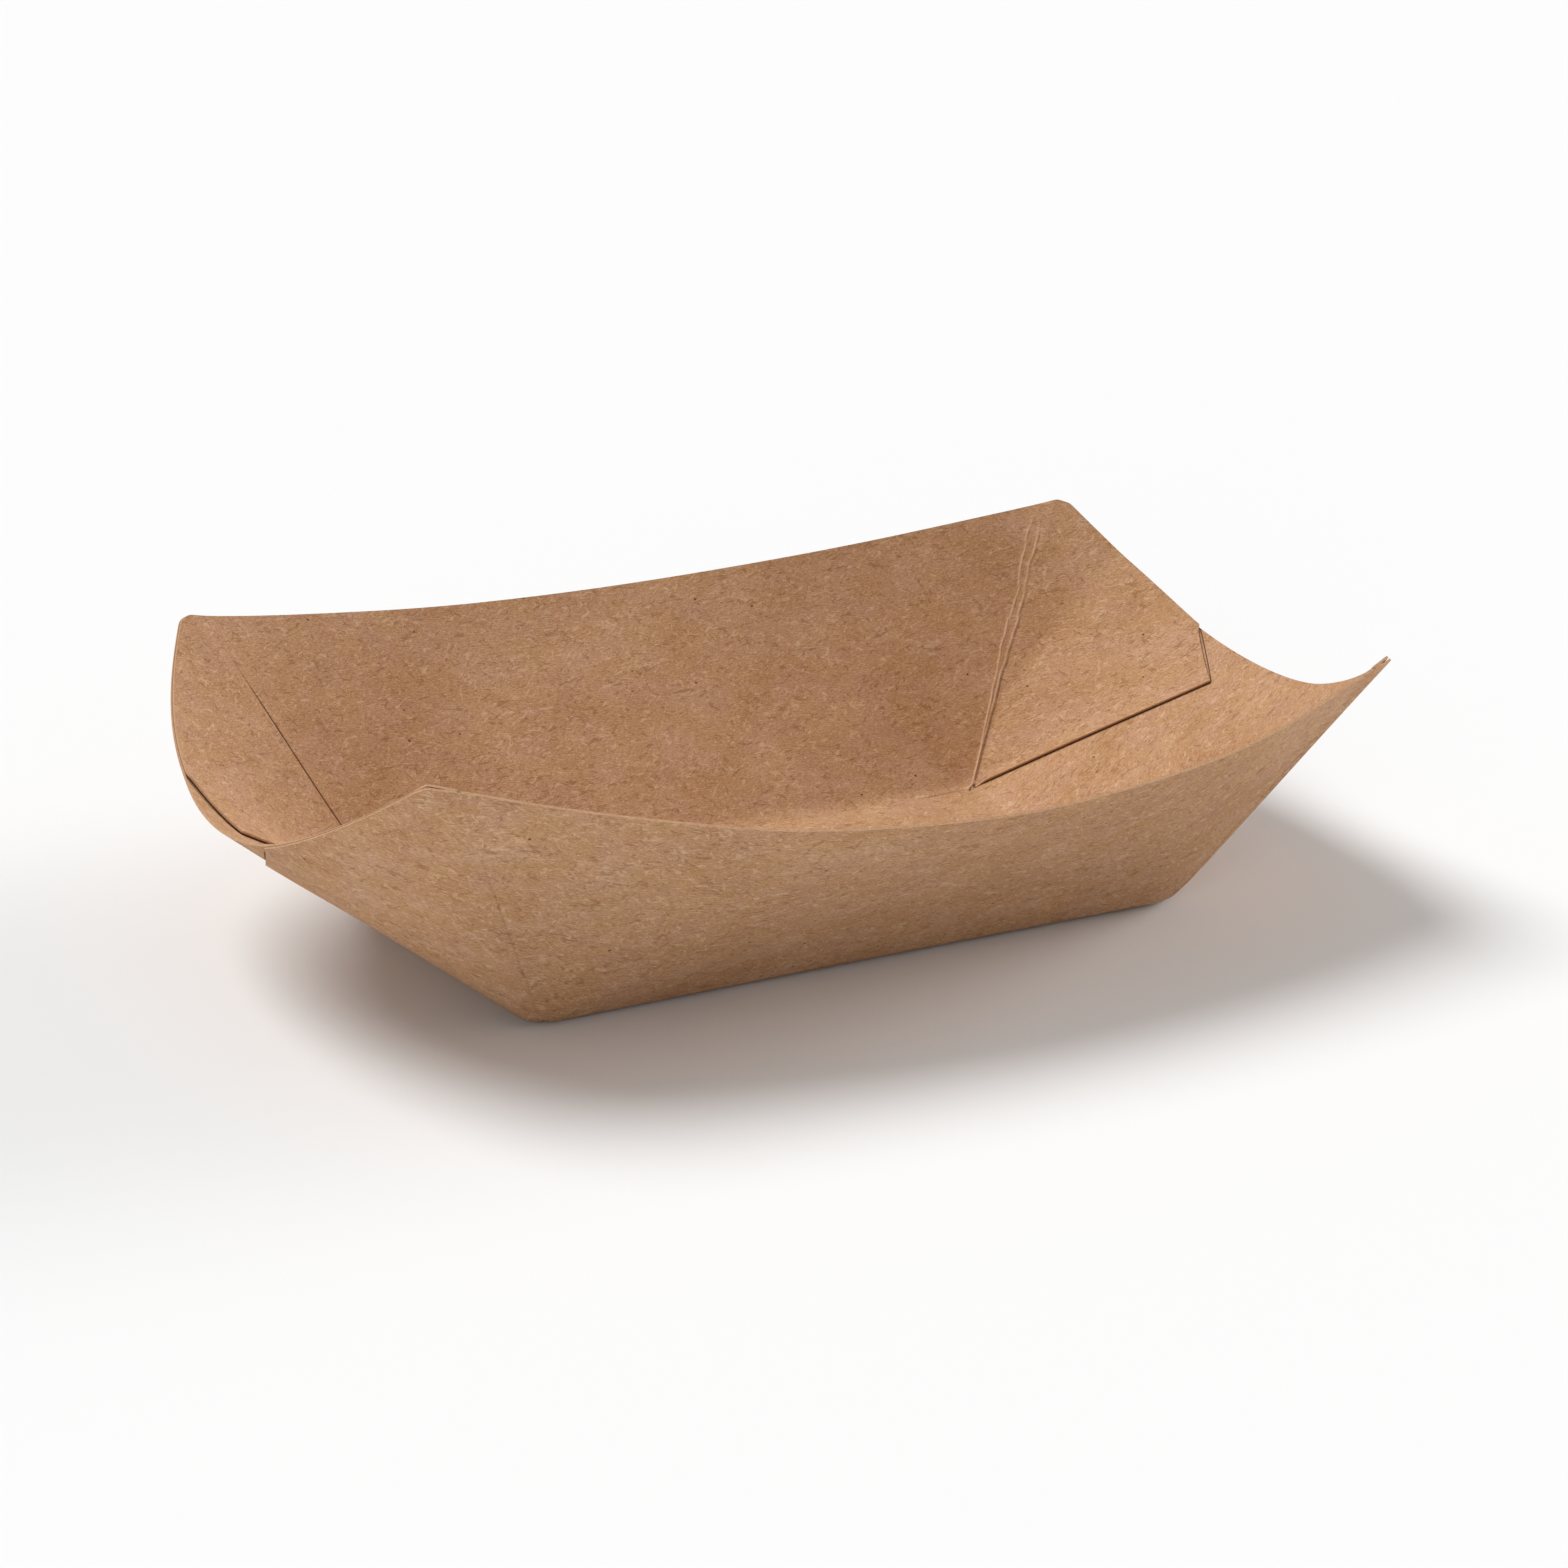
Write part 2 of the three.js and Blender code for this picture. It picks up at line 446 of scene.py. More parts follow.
@dataclass
class Marks:
    """What creases and cuts do to each point: relief along the inner normal, pale wear and painted dark
    shade.
    """

    relief: np.ndarray
    wear: np.ndarray
    shade: np.ndarray

    @staticmethod
    def none(count: int) -> "Marks":
        """Gives no marks for a number of points."""
        return Marks(np.zeros(count), np.zeros(count), np.zeros(count))


FaceOffset = tuple[np.ndarray, Marks]
Offsets = Callable[[np.ndarray], tuple[FaceOffset, FaceOffset]]


def surface_normals(points: np.ndarray, faces: np.ndarray) -> np.ndarray:
    """Gives vertex normals: the sum of the cross products of the faces round each vertex, made unit length.

    Args:
        points: Vertices.
        faces: Triangles.

    Returns:
        One unit normal for each vertex.
    """
    a, b, c = (points[faces[:, k]] for k in range(3))
    cross = np.cross(b - a, c - a)
    total = np.zeros_like(points)
    for k in range(3):
        np.add.at(total, faces[:, k], cross)
    return total / np.maximum(np.linalg.norm(total, axis=1), TINY)[:, None]


def shell_between(patches: list[Patch], offsets: Offsets, board: float) -> Shell:
    """Grows a closed solid between two offsets of the surface through some patches.

    Shared vertices are welded, each vertex is moved along its normal by its two offsets, and the open edges
    are closed by strips, which are the board's cut edges. On the floor the normal is exactly upright.

    Args:
        patches: Grids of points, each with columns clockwise and rows outwards.
        offsets: Function of the welded points that gives, for the inner and for the outer face, the distances
            along the inner normal and the marks.
        board: Height of the floor's upper face.

    Returns:
        The solid.
    """
    points, flat, quads, start = [], [], [], 0
    for patch in patches:
        columns, rows = patch.points.shape[:2]
        index = start + np.arange(columns * rows).reshape(columns, rows)
        round_quad = [index[:-1, :-1], index[1:, :-1], index[1:, 1:], index[:-1, 1:]]
        quads.append(np.stack(round_quad, axis=-1).reshape(-1, 4))
        points.append(patch.points.reshape(-1, 3))
        flat.append(patch.flat.reshape(-1, 2))
        start += columns * rows
    points, flat, quads = np.concatenate(points), np.concatenate(flat), np.concatenate(quads)
    corners = np.concatenate([quads[:, [0, 1, 2]], quads[:, [0, 2, 3]]])
    _, first, welded = np.unique(np.round(points / WELD), axis=0, return_index=True, return_inverse=True)
    welded = welded.reshape(-1)
    faces = welded[corners]
    real = (faces[:, 0] != faces[:, 1]) & (faces[:, 1] != faces[:, 2]) & (faces[:, 2] != faces[:, 0])
    faces, corners = faces[real], corners[real]
    body = points[first]
    normals = surface_normals(body, faces)
    normals[body[:, 2] < board + WELD] = (0.0, 0.0, 1.0)
    (inner, near_marks), (outer, far_marks) = offsets(body)
    near = body + normals * inner[:, None]
    far = body + normals * outer[:, None]
    count = len(body)
    rim_faces, rim_flat = edge_strips(faces, flat[corners], count)
    all_faces = np.concatenate([faces, faces[:, ::-1] + count, rim_faces])
    all_flat = np.concatenate([flat[corners], flat[corners][:, ::-1] + OUTSIDE_SHIFT, rim_flat])
    is_edge = np.zeros(len(all_faces), bool)
    is_edge[2 * len(faces):] = True
    wear = np.concatenate([near_marks.wear, far_marks.wear])
    shade = np.concatenate([near_marks.shade, far_marks.shade])
    return Shell(np.concatenate([near, far]), all_faces, all_flat, is_edge, wear, shade)


def edge_strips(faces: np.ndarray, flat: np.ndarray, count: int) -> tuple[np.ndarray, np.ndarray]:
    """Closes the open edges between the near and the far face.

    Args:
        faces: Triangles of the near face.
        flat: Places in the blank of each triangle's corners.
        count: Vertices of the near face, which is the step to the far one.

    Returns:
        The strips' triangles, and their corners' places in the blank.
    """
    starts = faces.reshape(-1)
    ends = faces[:, [1, 2, 0]].reshape(-1)
    start_flat = flat.reshape(-1, 2)
    end_flat = flat[:, [1, 2, 0]].reshape(-1, 2)
    open_edge = ~np.isin(starts * (2 * count) + ends, ends * (2 * count) + starts)
    a, b = starts[open_edge], ends[open_edge]
    a_flat, b_flat = start_flat[open_edge], end_flat[open_edge]
    strip = np.concatenate([np.stack([b, a, a + count], axis=1), np.stack([b, a + count, b + count], axis=1)])
    below = np.array([0.0, EDGE_DEPTH])
    strip_flat = np.concatenate([
        np.stack([b_flat, a_flat, a_flat + below], axis=1),
        np.stack([b_flat, a_flat + below, b_flat + below], axis=1),
    ])
    return strip, strip_flat


def smooth_step(value: np.ndarray) -> np.ndarray:
    """Rises smoothly from 0 at 0 to 1 at 1, as 3x^2 - 2x^3."""
    held = np.clip(value, 0.0, 1.0)
    return held * held * (3.0 - 2.0 * held)


class CreaseKind(Enum):
    """How a corner crease looks on the inner face."""

    RIDGED = "two pale wavering ridges"
    # The lined crease's dark line is painted shade over a shallow groove.
    LINED = "one thin dark line"


@dataclass(frozen=True)
class Crease:
    """Corner crease, where a long wall turns into its flap. It runs up a ray from the floor's corner.

    A point's place is given by its distance along the ray and its distance away from it, over to the flap.
    """

    foot: np.ndarray
    top: np.ndarray
    towards: np.ndarray
    kind: CreaseKind
    ridge_gap: float = 1.75 * MM
    ridge_half: float = 0.20 * MM
    ridge_height: float = 0.17 * MM
    ridge_start: float = 3.0 * MM
    ridge_end: float = 2.2 * MM
    ridge_fade: float = 2.5 * MM
    ridge_beat: float = 2.3 * MM
    ridge_turn: float = 1.9
    ridge_least: float = 0.82
    right_relief: float = 0.8
    right_wear: float = 0.7
    # Groove along a lined crease, which also carries painted shade.
    line_half: float = 0.17 * MM
    line_depth: float = 0.12 * MM
    line_start: float = 0.5 * MM
    line_end: float = 0.86
    line_fade: float = 0.24
    pinch_slope: float = 0.052
    pinch_wall: float = 0.40
    pinch_flap: float = 0.30
    pinch_drift: float = 16.0 * MM
    pinch_span: float = 50.0 * MM
    pinch_round: float = 0.055
    pinch_low: float = 1.9
    pinch_top: float = 0.9
    pinch_start: float = 9.0 * MM
    pinch_least: float = 1.0 * MM
    spread_share: float = 0.75
    # Painted shade in a line beside the right ridge, where shade falls; it has no relief of its own.
    valley_shift: float = 0.42 * MM
    valley_half: float = 0.17 * MM
    valley_start: float = 2.0 * MM
    valley_least: float = 0.18
    valley_low: float = 0.5
    valley_reach: float = 1.3
    seeds: tuple[float, float] = (0.4, 2.6)

    @property
    def axis(self) -> np.ndarray:
        """Unit vector up the crease."""
        ray = self.top - self.foot
        return ray / np.linalg.norm(ray)

    @property
    def length(self) -> float:
        """Length of the crease."""
        return float(np.linalg.norm(self.top - self.foot))

    def place(self, points: np.ndarray) -> tuple[np.ndarray, np.ndarray]:
        """Gives each point's distance along the crease and away from it.

        Args:
            points: Points near the tray's surface.

        Returns:
            The distances along, and the signed distances away.
        """
        side = self.towards - self.axis * (self.towards @ self.axis)
        side /= np.linalg.norm(side)
        arm = points - self.foot
        return arm @ self.axis, arm @ side

    def near(self, points: np.ndarray) -> np.ndarray:
        """Gives 1 on the crease's own corner of the tray and 0 on the others."""
        same = np.sign(points[:, :2]) == np.sign(self.foot[:2])
        return same.all(axis=1).astype(float)

    def pinch(self, points: np.ndarray) -> np.ndarray:
        """Gives how far the fold pulls the sheet outwards round a line that drifts over the flap.

        The line lies drift (a/span)^2 past the crease at the distance a up it. At the distance d from the
        line the pull is slope a exp(-r(d)/(a w)), with r a rounded absolute value and w the width on that
        side, so that the wall and the flap each stay nearly flat and turn against each other at the line.
        It is stronger low down, by a factor that falls evenly from pinch_low to pinch_top over the span.

        Args:
            points: Points near the tray's surface.

        Returns:
            Distances, all positive.
        """
        along, away = self.place(points)
        reach = np.maximum(along, self.pinch_least)
        past = away - self.pinch_drift * (reach / self.pinch_span) ** 2
        soft = self.pinch_round * reach
        spread = np.sqrt(past**2 + soft**2) - soft
        width = np.where(past < 0, self.pinch_wall, self.pinch_flap) * reach
        held = smooth_step(points[:, 2] / self.pinch_start)
        held *= smooth_step(np.abs(points[:, 1]) / self.pinch_start)
        low = self.pinch_low - (self.pinch_low - self.pinch_top) * np.minimum(reach / self.pinch_span, 1.0)
        return self.pinch_slope * reach * low * np.exp(-spread / width) * held * self.near(points)

    def waver(self, along: np.ndarray, seed: float) -> np.ndarray:
        """Gives the sideways wander of a ridge: a sum of four sines and two soft jogs.

        Args:
            along: Distances along the crease.
            seed: Shift of the waves and the jogs.

        Returns:
            Sideways distances.
        """
        place = along / MM
        wander = np.zeros_like(place)
        for height, length, turn in RIDGE_WAVES:
            wander += height * np.sin(place / length + turn * seed)
        for step, start, width, turn in RIDGE_JOGS:
            wander += step * smooth_step((place - start - turn * seed) / width)
        return wander * MM

    def ridge(self, points: np.ndarray, side: float, seed: float) -> np.ndarray:
        """Gives a ridge's profile, exp(-(d/half)^2) of the distance d from its wavering middle.

        Its height beats along the crease as l + (1 - l) sin(a/beat + turn s) of the distance a, with
        l = ridge_least and s the seed.

        Args:
            points: Points near the tray's surface.
            side: -1 for the ridge on the wall and 1 for the one on the flap.
            seed: Shift of the wander.

        Returns:
            Heights between 0 and 1.
        """
        along, away = self.place(points)
        spread = smooth_step(along / (self.spread_share * self.length))
        middle = side * 0.5 * self.ridge_gap * spread + self.waver(along, seed) * spread
        fade = smooth_step(along / self.ridge_start)
        fade *= smooth_step((self.length - self.ridge_end - along) / self.ridge_fade)
        beat = np.sin(along / self.ridge_beat + self.ridge_turn * seed)
        strength = self.ridge_least + (1.0 - self.ridge_least) * beat
        return np.exp(-(((away - middle) / self.ridge_half) ** 2)) * fade * strength * self.near(points)

    def marks(self, points: np.ndarray) -> Marks:
        """Gives the crease's marks on the inner face.

        A ridged crease has its two ridges, and painted shade exp(-(d/half)^2) in a line beside the right one
        that is darkest low down. A lined one has a shallow groove along its middle line with painted shade in
        it, which fades out towards the rim.

        Args:
            points: Points near the tray's surface.

        Returns:
            The relief along the inner normal, the wear and the painted shade.
        """
        along, away = self.place(points)
        if self.kind is CreaseKind.RIDGED:
            left_seed, right_seed = self.seeds
            left, right = self.ridge(points, -1.0, left_seed), self.ridge(points, 1.0, right_seed)
            share = along / (self.spread_share * self.length)
            # Painted shade in a line beside the right ridge, darkest low down.
            low = smooth_step(self.valley_reach - share)
            middle = (0.5 * self.ridge_gap + self.waver(along, right_seed)) * smooth_step(share)
            apart = (away - middle - self.valley_shift) / self.valley_half
            valley_shade = np.exp(-(apart**2)) * smooth_step(along / self.valley_start) * self.near(points)
            relief = self.ridge_height * (left + self.right_relief * right)
            shade = (self.valley_least + self.valley_low * low) * valley_shade
            return Marks(relief, left + self.right_wear * right, shade)
        # A lined crease: a shallow groove with painted shade along it, fading out towards the rim.
        line = self.cut(points) * smooth_step((self.line_end - along / self.length) / self.line_fade)
        return Marks(-self.line_depth * line, np.zeros(len(points)), line)

    def cut(self, points: np.ndarray) -> np.ndarray:
        """Gives 1 on the crease's middle line above its foot, as exp(-(d/half)^2) of the distance d from it.
        It sets the groove and its painted shade.

        Args:
            points: Points near the tray's surface.

        Returns:
            Strengths between 0 and 1.
        """
        along, away = self.place(points)
        started = smooth_step(1.0 + along / self.line_start)
        return np.exp(-((away / self.line_half) ** 2)) * started * self.near(points)


@dataclass(frozen=True)
class FlapLine:
    """Faint step on the inner face of an end panel, over the edge of the flap glued on behind it."""

    corners: np.ndarray
    plane_along: np.ndarray
    plane_up: np.ndarray
    half: float = 0.35 * MM
    height: float = 0.08 * MM
    wear: float = 0.32

    def marks(self, points: np.ndarray) -> Marks:
        """Gives the line's marks, exp(-(d/half)^2) of the distance d from its polyline in the panel's plane.

        Args:
            points: Points near the tray's surface.

        Returns:
            The relief along the inner normal, the wear and the shade.
        """
        frame_2d = np.column_stack([self.plane_along, self.plane_up])
        place, line = points @ frame_2d, self.corners @ frame_2d
        nearest = np.full(len(points), np.inf)
        for start, end in zip(line[:-1], line[1:]):
            step = end - start
            share = np.clip((place - start) @ step / (step @ step), 0.0, 1.0)
            nearest = np.minimum(nearest, np.linalg.norm(place - start - share[:, None] * step, axis=1))
        same = (points[:, :2] * self.corners[0, :2] > 0.0).all(axis=1)
        line = np.exp(-((nearest / self.half) ** 2)) * same
        return Marks(self.height * line, self.wear * line, np.zeros(len(points)))


@dataclass
class FoldedTray:
    """The whole folded and glued sheet. Fields without a unit are counts, powers, shares and strengths."""

    sizes: TraySizes = field(default_factory=TraySizes)
    fan_steps: int = 38
    crease_steps: int = 40
    crease_zone: float = 0.032
    peak_steps: int = 8
    end_fan_steps: int = 44
    end_fan_power: float = 1.35
    side_fold_steps: int = 30
    end_fold_steps: int = 18
    floor_rows: int = 4
    fold_rows: int = 7
    wall_rows: int = 42
    flap_bend: float = 3.0 * MM
    glue_gap: float = 0.22 * MM
    turn_lift: float = 0.28 * MM
    turn_reach: float = 2.0 * MM
    turn_start: float = 8.0 * MM
    ripple_start: float = 1.0 * MM
    ripple_fade: float = 16.0 * MM
    cut_half: float = 0.2 * MM
    # Painted shade along the crease line on the outer face at the back corners.
    cut_shade: float = 0.8
    crease_points: int = 27
    crease_before: float = 0.006
    peak_points: int = 9
    peak_share: float = 0.96
    rim_points: int = 34
    short_points: int = 14
    heading_points: int = 60
    heading_gap: float = 0.01
    line_reach: float = 0.86
    sink: float = 0.05 * MM
    sink_reach: float = 0.5 * MM
    free_height: float = 0.8
    free_fade: float = 0.1
    rim_lift: float = 1.1 * MM
    corner_ease: float = 0.6 * MM
    # Painted shadows on the end panels under the flaps' free edges.
    shadow_points: int = 40
    shadow_half: float = 0.25 * MM
    short_shadow: float = 0.7
    shadow_strength: float = 0.85
    # Painted shade of a slit and a wrinkle at the floor's back right corner, drawn as dark strokes in the
    # blank.
    slit: tuple[tuple[float, float], ...] = ((0.9 * MM, 0.7 * MM), (-1.5 * MM, -1.25 * MM))
    slit_half: float = 0.44 * MM
    slit_shade_strength: float = 0.95
    wrinkle: tuple[tuple[float, float], ...] = ((-1.0 * MM, -0.5 * MM), (-13.5 * MM, -0.9 * MM))
    wrinkle_half: float = 0.30 * MM
    wrinkle_shade_strength: float = 0.30

    @property
    def crease_share(self) -> float:
        """Place of the creases' tops along the long rims."""
        return 1.0 - self.sizes.crease_inset / (self.sizes.peak_length / 2)

    def long_wall(self, side: Side) -> Wall:
        """Describes the front or the back wall.

        Args:
            side: The wall.

        Returns:
            The wall in its own plan axes.
        """
        size = self.sizes
        sign = side.value
        return Wall(
            (float(sign), 0.0), (0.0, float(sign)),
            size.floor_length / 2, size.floor_width / 2, size.peak_length / 2, size.peak_width / 2,
            size.peak_height, size.side_bow, size.side_dip, size.board, size.fold_reach,
        )

    def end_panel(self, end: End) -> Wall:
        """Describes the left or the right end panel.

        Args:
            end: The panel.

        Returns:
            The panel as a wall in its own plan axes.
        """
        size = self.sizes
        sign = end.value
        return Wall(
            (0.0, -float(sign)), (float(sign), 0.0),
            size.floor_width / 2, size.floor_length / 2, size.peak_width / 2, size.peak_length / 2,
            size.peak_height, size.end_bow, size.end_dip, size.board, size.fold_reach,
            size.end_swell, size.flap_rim_gap / size.peak_width,
        )

    def crease(self, end: End, side: Side) -> Crease:
        """Describes the crease at one corner.

        Args:
            end: The corner's end.
            side: The corner's side.

        Returns:
            The crease, ridged at the back right and lined elsewhere.
        """
        wall = self.long_wall(side)
        corner = float(side.value * end.value)
        top = wall.rim(corner * self.crease_share)[0]
        towards = wall.rim(corner)[0] - top
        ridged = side is Side.BACK and end is End.RIGHT
        return Crease(wall.fold(corner)[0], top, towards, CreaseKind.RIDGED if ridged else CreaseKind.LINED)

    def ripple(self, points: np.ndarray) -> np.ndarray:
        """Gives the sheet's unevenness, less the pinch at the back right.

        In millimetres it is 0.17 sin(x/13.1 + 0.7) sin(y/17.3 + z/11.9 + 1.1) and
        0.10 sin(x/7.3 - z/9.1 + 2) cos(y/9.7 + 0.4), which fade in above ripple_start.

        Args:
            points: Points of the true tray.

        Returns:
            Distances along the inner normal.
        """
        x, y, z = (points / MM).T
        wave = 0.17 * np.sin(x / 13.1 + 0.7) * np.sin(y / 17.3 + z / 11.9 + 1.1)
        wave += 0.10 * np.sin(x / 7.3 - z / 9.1 + 2.0) * np.cos(y / 9.7 + 0.4)
        fade = smooth_step((points[:, 2] - self.ripple_start) / self.ripple_fade)
        return wave * MM * fade - self.crease(End.RIGHT, Side.BACK).pinch(points)

    def turn(self, crease: Crease, points: np.ndarray) -> np.ndarray:
        """Gives how far a wall moves over beside its crease to clear the panel's cut edge.

        The lift is turn_lift exp(-d/turn_reach) at the distance d before the crease, and stays on past it.

        Args:
            crease: The crease.
            points: Points near the tray's surface.

        Returns:
            Distances, all positive.
        """
        along, away = crease.place(points)
        start = smooth_step(along / self.turn_start)
        return self.turn_lift * np.exp(np.minimum(away, 0.0) / self.turn_reach) * start * crease.near(points)

    def sheet(self) -> Shell:
        """Builds the floor, the long walls and the end panels as one ring of rulings.

        Returns:
            The ring as a closed solid.
        """
        size = self.sizes
        fine = np.linspace(-self.crease_zone, self.crease_zone, self.crease_steps + 1) + self.crease_share
        coarse = np.linspace(0.0, fine[0], self.fan_steps + 1)[:-1]
        last = np.linspace(fine[-1], 1.0, self.peak_steps + 1)[1:]
        side_shares = np.concatenate([coarse, fine, last])
        end_shares = 1.0 - np.linspace(1.0, 0.0, self.end_fan_steps + 1) ** self.end_fan_power
        patches = []
        for wall, shares, fold in (
            (self.long_wall(Side.BACK), side_shares, self.side_fold_steps),
            (self.end_panel(End.RIGHT), end_shares, self.end_fold_steps),
            (self.long_wall(Side.FRONT), side_shares, self.side_fold_steps),
            (self.end_panel(End.LEFT), end_shares, self.end_fold_steps),
        ):
            lines = wall_rulings(wall, shares, fold, size.corner_trims, size.corner_reach)
            patches.append(patch_of(wall, lines, self.floor_rows, self.fold_rows, self.wall_rows))

        def offsets(points: np.ndarray) -> tuple[FaceOffset, FaceOffset]:
            """Gives the inner face its marks and sets the outer one a board's thickness out.

            Args:
                points: Points of the true tray.

            Returns:
                Distances along the inner normal and marks, for the inner face and for the outer one.
            """
            marks, outside = Marks.none(len(points)), Marks.none(len(points))
            moved = self.ripple(points)
            outer = moved - size.board
            for end in End:
                for side in Side:
                    crease = self.crease(end, side)
                    _, away = crease.place(points)
                    own = crease.marks(points)
                    step = side.value * self.turn(crease, points) * (away < 0) + own.relief
                    moved += step
                    outer += step
                    marks.wear += own.wear
                    marks.shade += own.shade
                    # Painted shade on the outer face along the back corners' crease lines.
                    if side is Side.BACK:
                        outside.shade += self.cut_shade * crease.cut(points) * (away > -self.cut_half)
                line = self.flap_line(end).marks(points)
                moved += line.relief
                marks.wear += line.wear
            return (moved, marks), (outer, outside)

        return shell_between(patches, offsets, size.board)

    def flap_tips(self, end: End, side: Side) -> tuple[np.ndarray, np.ndarray, np.ndarray]:
        """Gives the ends of a flap's rays, in order from the crease to the lower edge.

        The outline starts on the long wall's rim at the crease, runs over the peak and down the end rim, then
        along the short free edge to the tip. The lower edge is the last ray.

        Args:
            end: The end panel that the flap lies on.
            side: The long wall that it belongs to.

        Returns:
            The ends on the long rim, those on the end rim, and those on the short free edge.
        """
        size = self.sizes
        wall, panel = self.long_wall(side), self.end_panel(end)
        corner = float(side.value * end.value)
        foot = wall.fold(corner)[0]
        rim_share = size.flap_rim_gap / size.peak_width
        aim_share = size.flap_aim / (size.peak_width / 2)
        first, last = self.crease_share - self.crease_before, self.crease_share + self.crease_zone
        fine = np.linspace(first, last, self.crease_points)
        before = wall.rim(corner * np.concatenate([fine, np.linspace(last, 1.0, self.peak_points)[1:]]))
        peak = np.linspace(1.0, self.peak_share, self.peak_points)
        down = np.concatenate([peak, np.linspace(self.peak_share, rim_share, self.rim_points)[1:]])
        along = panel.rim(-corner * down[1:])
        along = along + self.risen(along, foot, size.flap_rise)
        reached = panel.rim(-corner * rim_share)[0]
        aims = panel.rim(-corner * np.linspace(rim_share, aim_share, self.short_points)[1:]) - foot
        tip = foot + aims[-1] / np.linalg.norm(aims[-1]) * size.flap_lower_edge
        step = (tip - reached)[:2]
        start = (reached - foot)[:2]
        share = (start[0] * step[1] - start[1] * step[0]) / (aims[:, 0] * step[1] - aims[:, 1] * step[0])
        return before, along, foot + aims * share[:, None]

    def flap_line(self, end: End) -> FlapLine:
        """Describes the step over the front flap's free edges, seen on the inner face of an end panel.

        Args:
            end: The end panel.

        Returns:
            The step's line.
        """
        panel = self.end_panel(end)
        foot = self.long_wall(Side.FRONT).fold(-float(end.value))[0]
        _, along, short = self.flap_tips(end, Side.FRONT)
        slant = panel.rim(0.0)[0] - panel.fold(0.0)[0]
        corners = np.array([along[-1], short[-1], foot + self.line_reach * (short[-1] - foot)])
        return FlapLine(corners, np.array([0.0, 1.0, 0.0]), slant / np.linalg.norm(slant))

    def flap_shadow(self, end: End, side: Side) -> list[Stroke]:
        """Draws the painted shadows on an end panel under the two free edges of a flap, in the blank.

        Args:
            end: The end panel.
            side: The long wall that the flap belongs to.

        Returns:
            The stroke under the lower edge and the one under the short edge.
        """
        size = self.sizes
        panel = self.end_panel(end)
        corner = -float(side.value * end.value)
        foot = panel.fold(corner)[0]
        rim_share = size.flap_rim_gap / size.peak_width
        aim_share = size.flap_aim / (size.peak_width / 2)
        ends = []
        for share in (aim_share, rim_share):
            tips = panel.rim(corner * np.linspace(0.0, share, self.shadow_points))
            heading = panel.headings(corner, tips)[-1]
            to_rim = np.linalg.norm(tips[-1] - foot) + size.flap_rise
            length = size.flap_lower_edge if share == aim_share else to_rim
            ends.append(foot[:2] + length * panel.plan(np.cos(heading), np.sin(heading)))
        shift = OUTSIDE_SHIFT if side is Side.FRONT else np.zeros(2)
        start, tip, rim = (place + shift for place in (foot[:2], *ends))
        thin = self.short_shadow * self.shadow_half
        return [
            Stroke(start, tip, self.shadow_half, self.shadow_strength),
            Stroke(tip, rim, thin, self.shadow_strength),
        ]

    def strokes(self) -> list[Stroke]:
        """Gives every line of painted shade in the blank.

        Returns:
            The painted shadows under the flaps' free edges, and the painted shade of the slit and the wrinkle
            at the floor's back right.
        """
        corner = self.long_wall(Side.BACK).fold(1.0)[0, :2]
        slit = Stroke(*(corner + np.array(self.slit)), self.slit_half, self.slit_shade_strength)
        wrinkle = Stroke(*(corner + np.array(self.wrinkle)), self.wrinkle_half, self.wrinkle_shade_strength)
        under = [stroke for end in End for side in Side for stroke in self.flap_shadow(end, side)]
        return [*under, slit, wrinkle]

    def flap(self, end: End, side: Side) -> Shell:
        """Builds one corner flap: the long wall carried on round its crease and glued to the end panel.

        Args:
            end: The end panel that the flap lies on.
            side: The long wall that it belongs to.

        Returns:
            The flap as a closed solid: inside the panel at the back, outside it at the front.
        """
        size = self.sizes
        wall = self.long_wall(side)
        corner = float(side.value * end.value)
        foot = wall.fold(corner)[0]
        crease = self.crease(end, side)
        before, along, short = self.flap_tips(end, side)
        tips = np.concatenate([before, along, short])
        tips = rounded_tips(tips, foot, wall.rim(corner)[0], size.corner_trims, size.corner_reach)
        lead = wall.rim(corner * np.linspace(0.0, self.crease_share - self.heading_gap, self.heading_points))
        lines = corner_rays(wall, corner, np.concatenate([lead, tips])).after(len(lead))
        if corner < 0:
            lines = reversed_rulings(lines)
        patch = patch_of(wall, lines, 0, self.fold_rows, self.wall_rows)
        # The flap starts halfway round the soft fold, clear of the floor.
        keep = self.fold_rows // 2
        patch = Patch(patch.points[:, keep:], patch.flat[:, keep:])

        def offsets(points: np.ndarray) -> tuple[FaceOffset, FaceOffset]:
            """Carries the wall's turn on, lifts the flap off the panel within its bend and adds the marks.

            The face glued to the panel carries painted shade, so that the cut edge gets painted shade at its
            foot, but not near the peak, where the edge stands free within a bend's length of the crease.

            Args:
                points: Points of the true tray.

            Returns:
                Distances along the inner normal and marks, for the inner face and for the outer one.
            """
            _, away = crease.place(points)
            bend = smooth_step(away / self.flap_bend)
            turn = self.turn(crease, points)
            top = turn + (size.board + self.glue_gap - turn) * bend
            top -= self.sink * (1.0 - smooth_step((away + self.cut_half) / self.sink_reach))
            ripple = self.ripple(points)
            own = crease.marks(points)
            # Painted shade on the face glued to the panel, which darkens the lower part of the cut edge.
            plain, glued = Marks.none(len(points)), Marks.none(len(points))
            high = smooth_step((points[:, 2] / size.peak_height - self.free_height) / self.free_fade)
            glued.shade += 1.0 - high * (1.0 - smooth_step(away / self.flap_bend - 1.0))
            if side is Side.BACK:
                shown = top + ripple + own.relief
                return (shown, own), (shown - size.board, glued)
            shown = ripple - size.board - top
            return (shown + size.board, glued), (shown, plain)

        return shell_between([patch], offsets, NO_FLOOR)

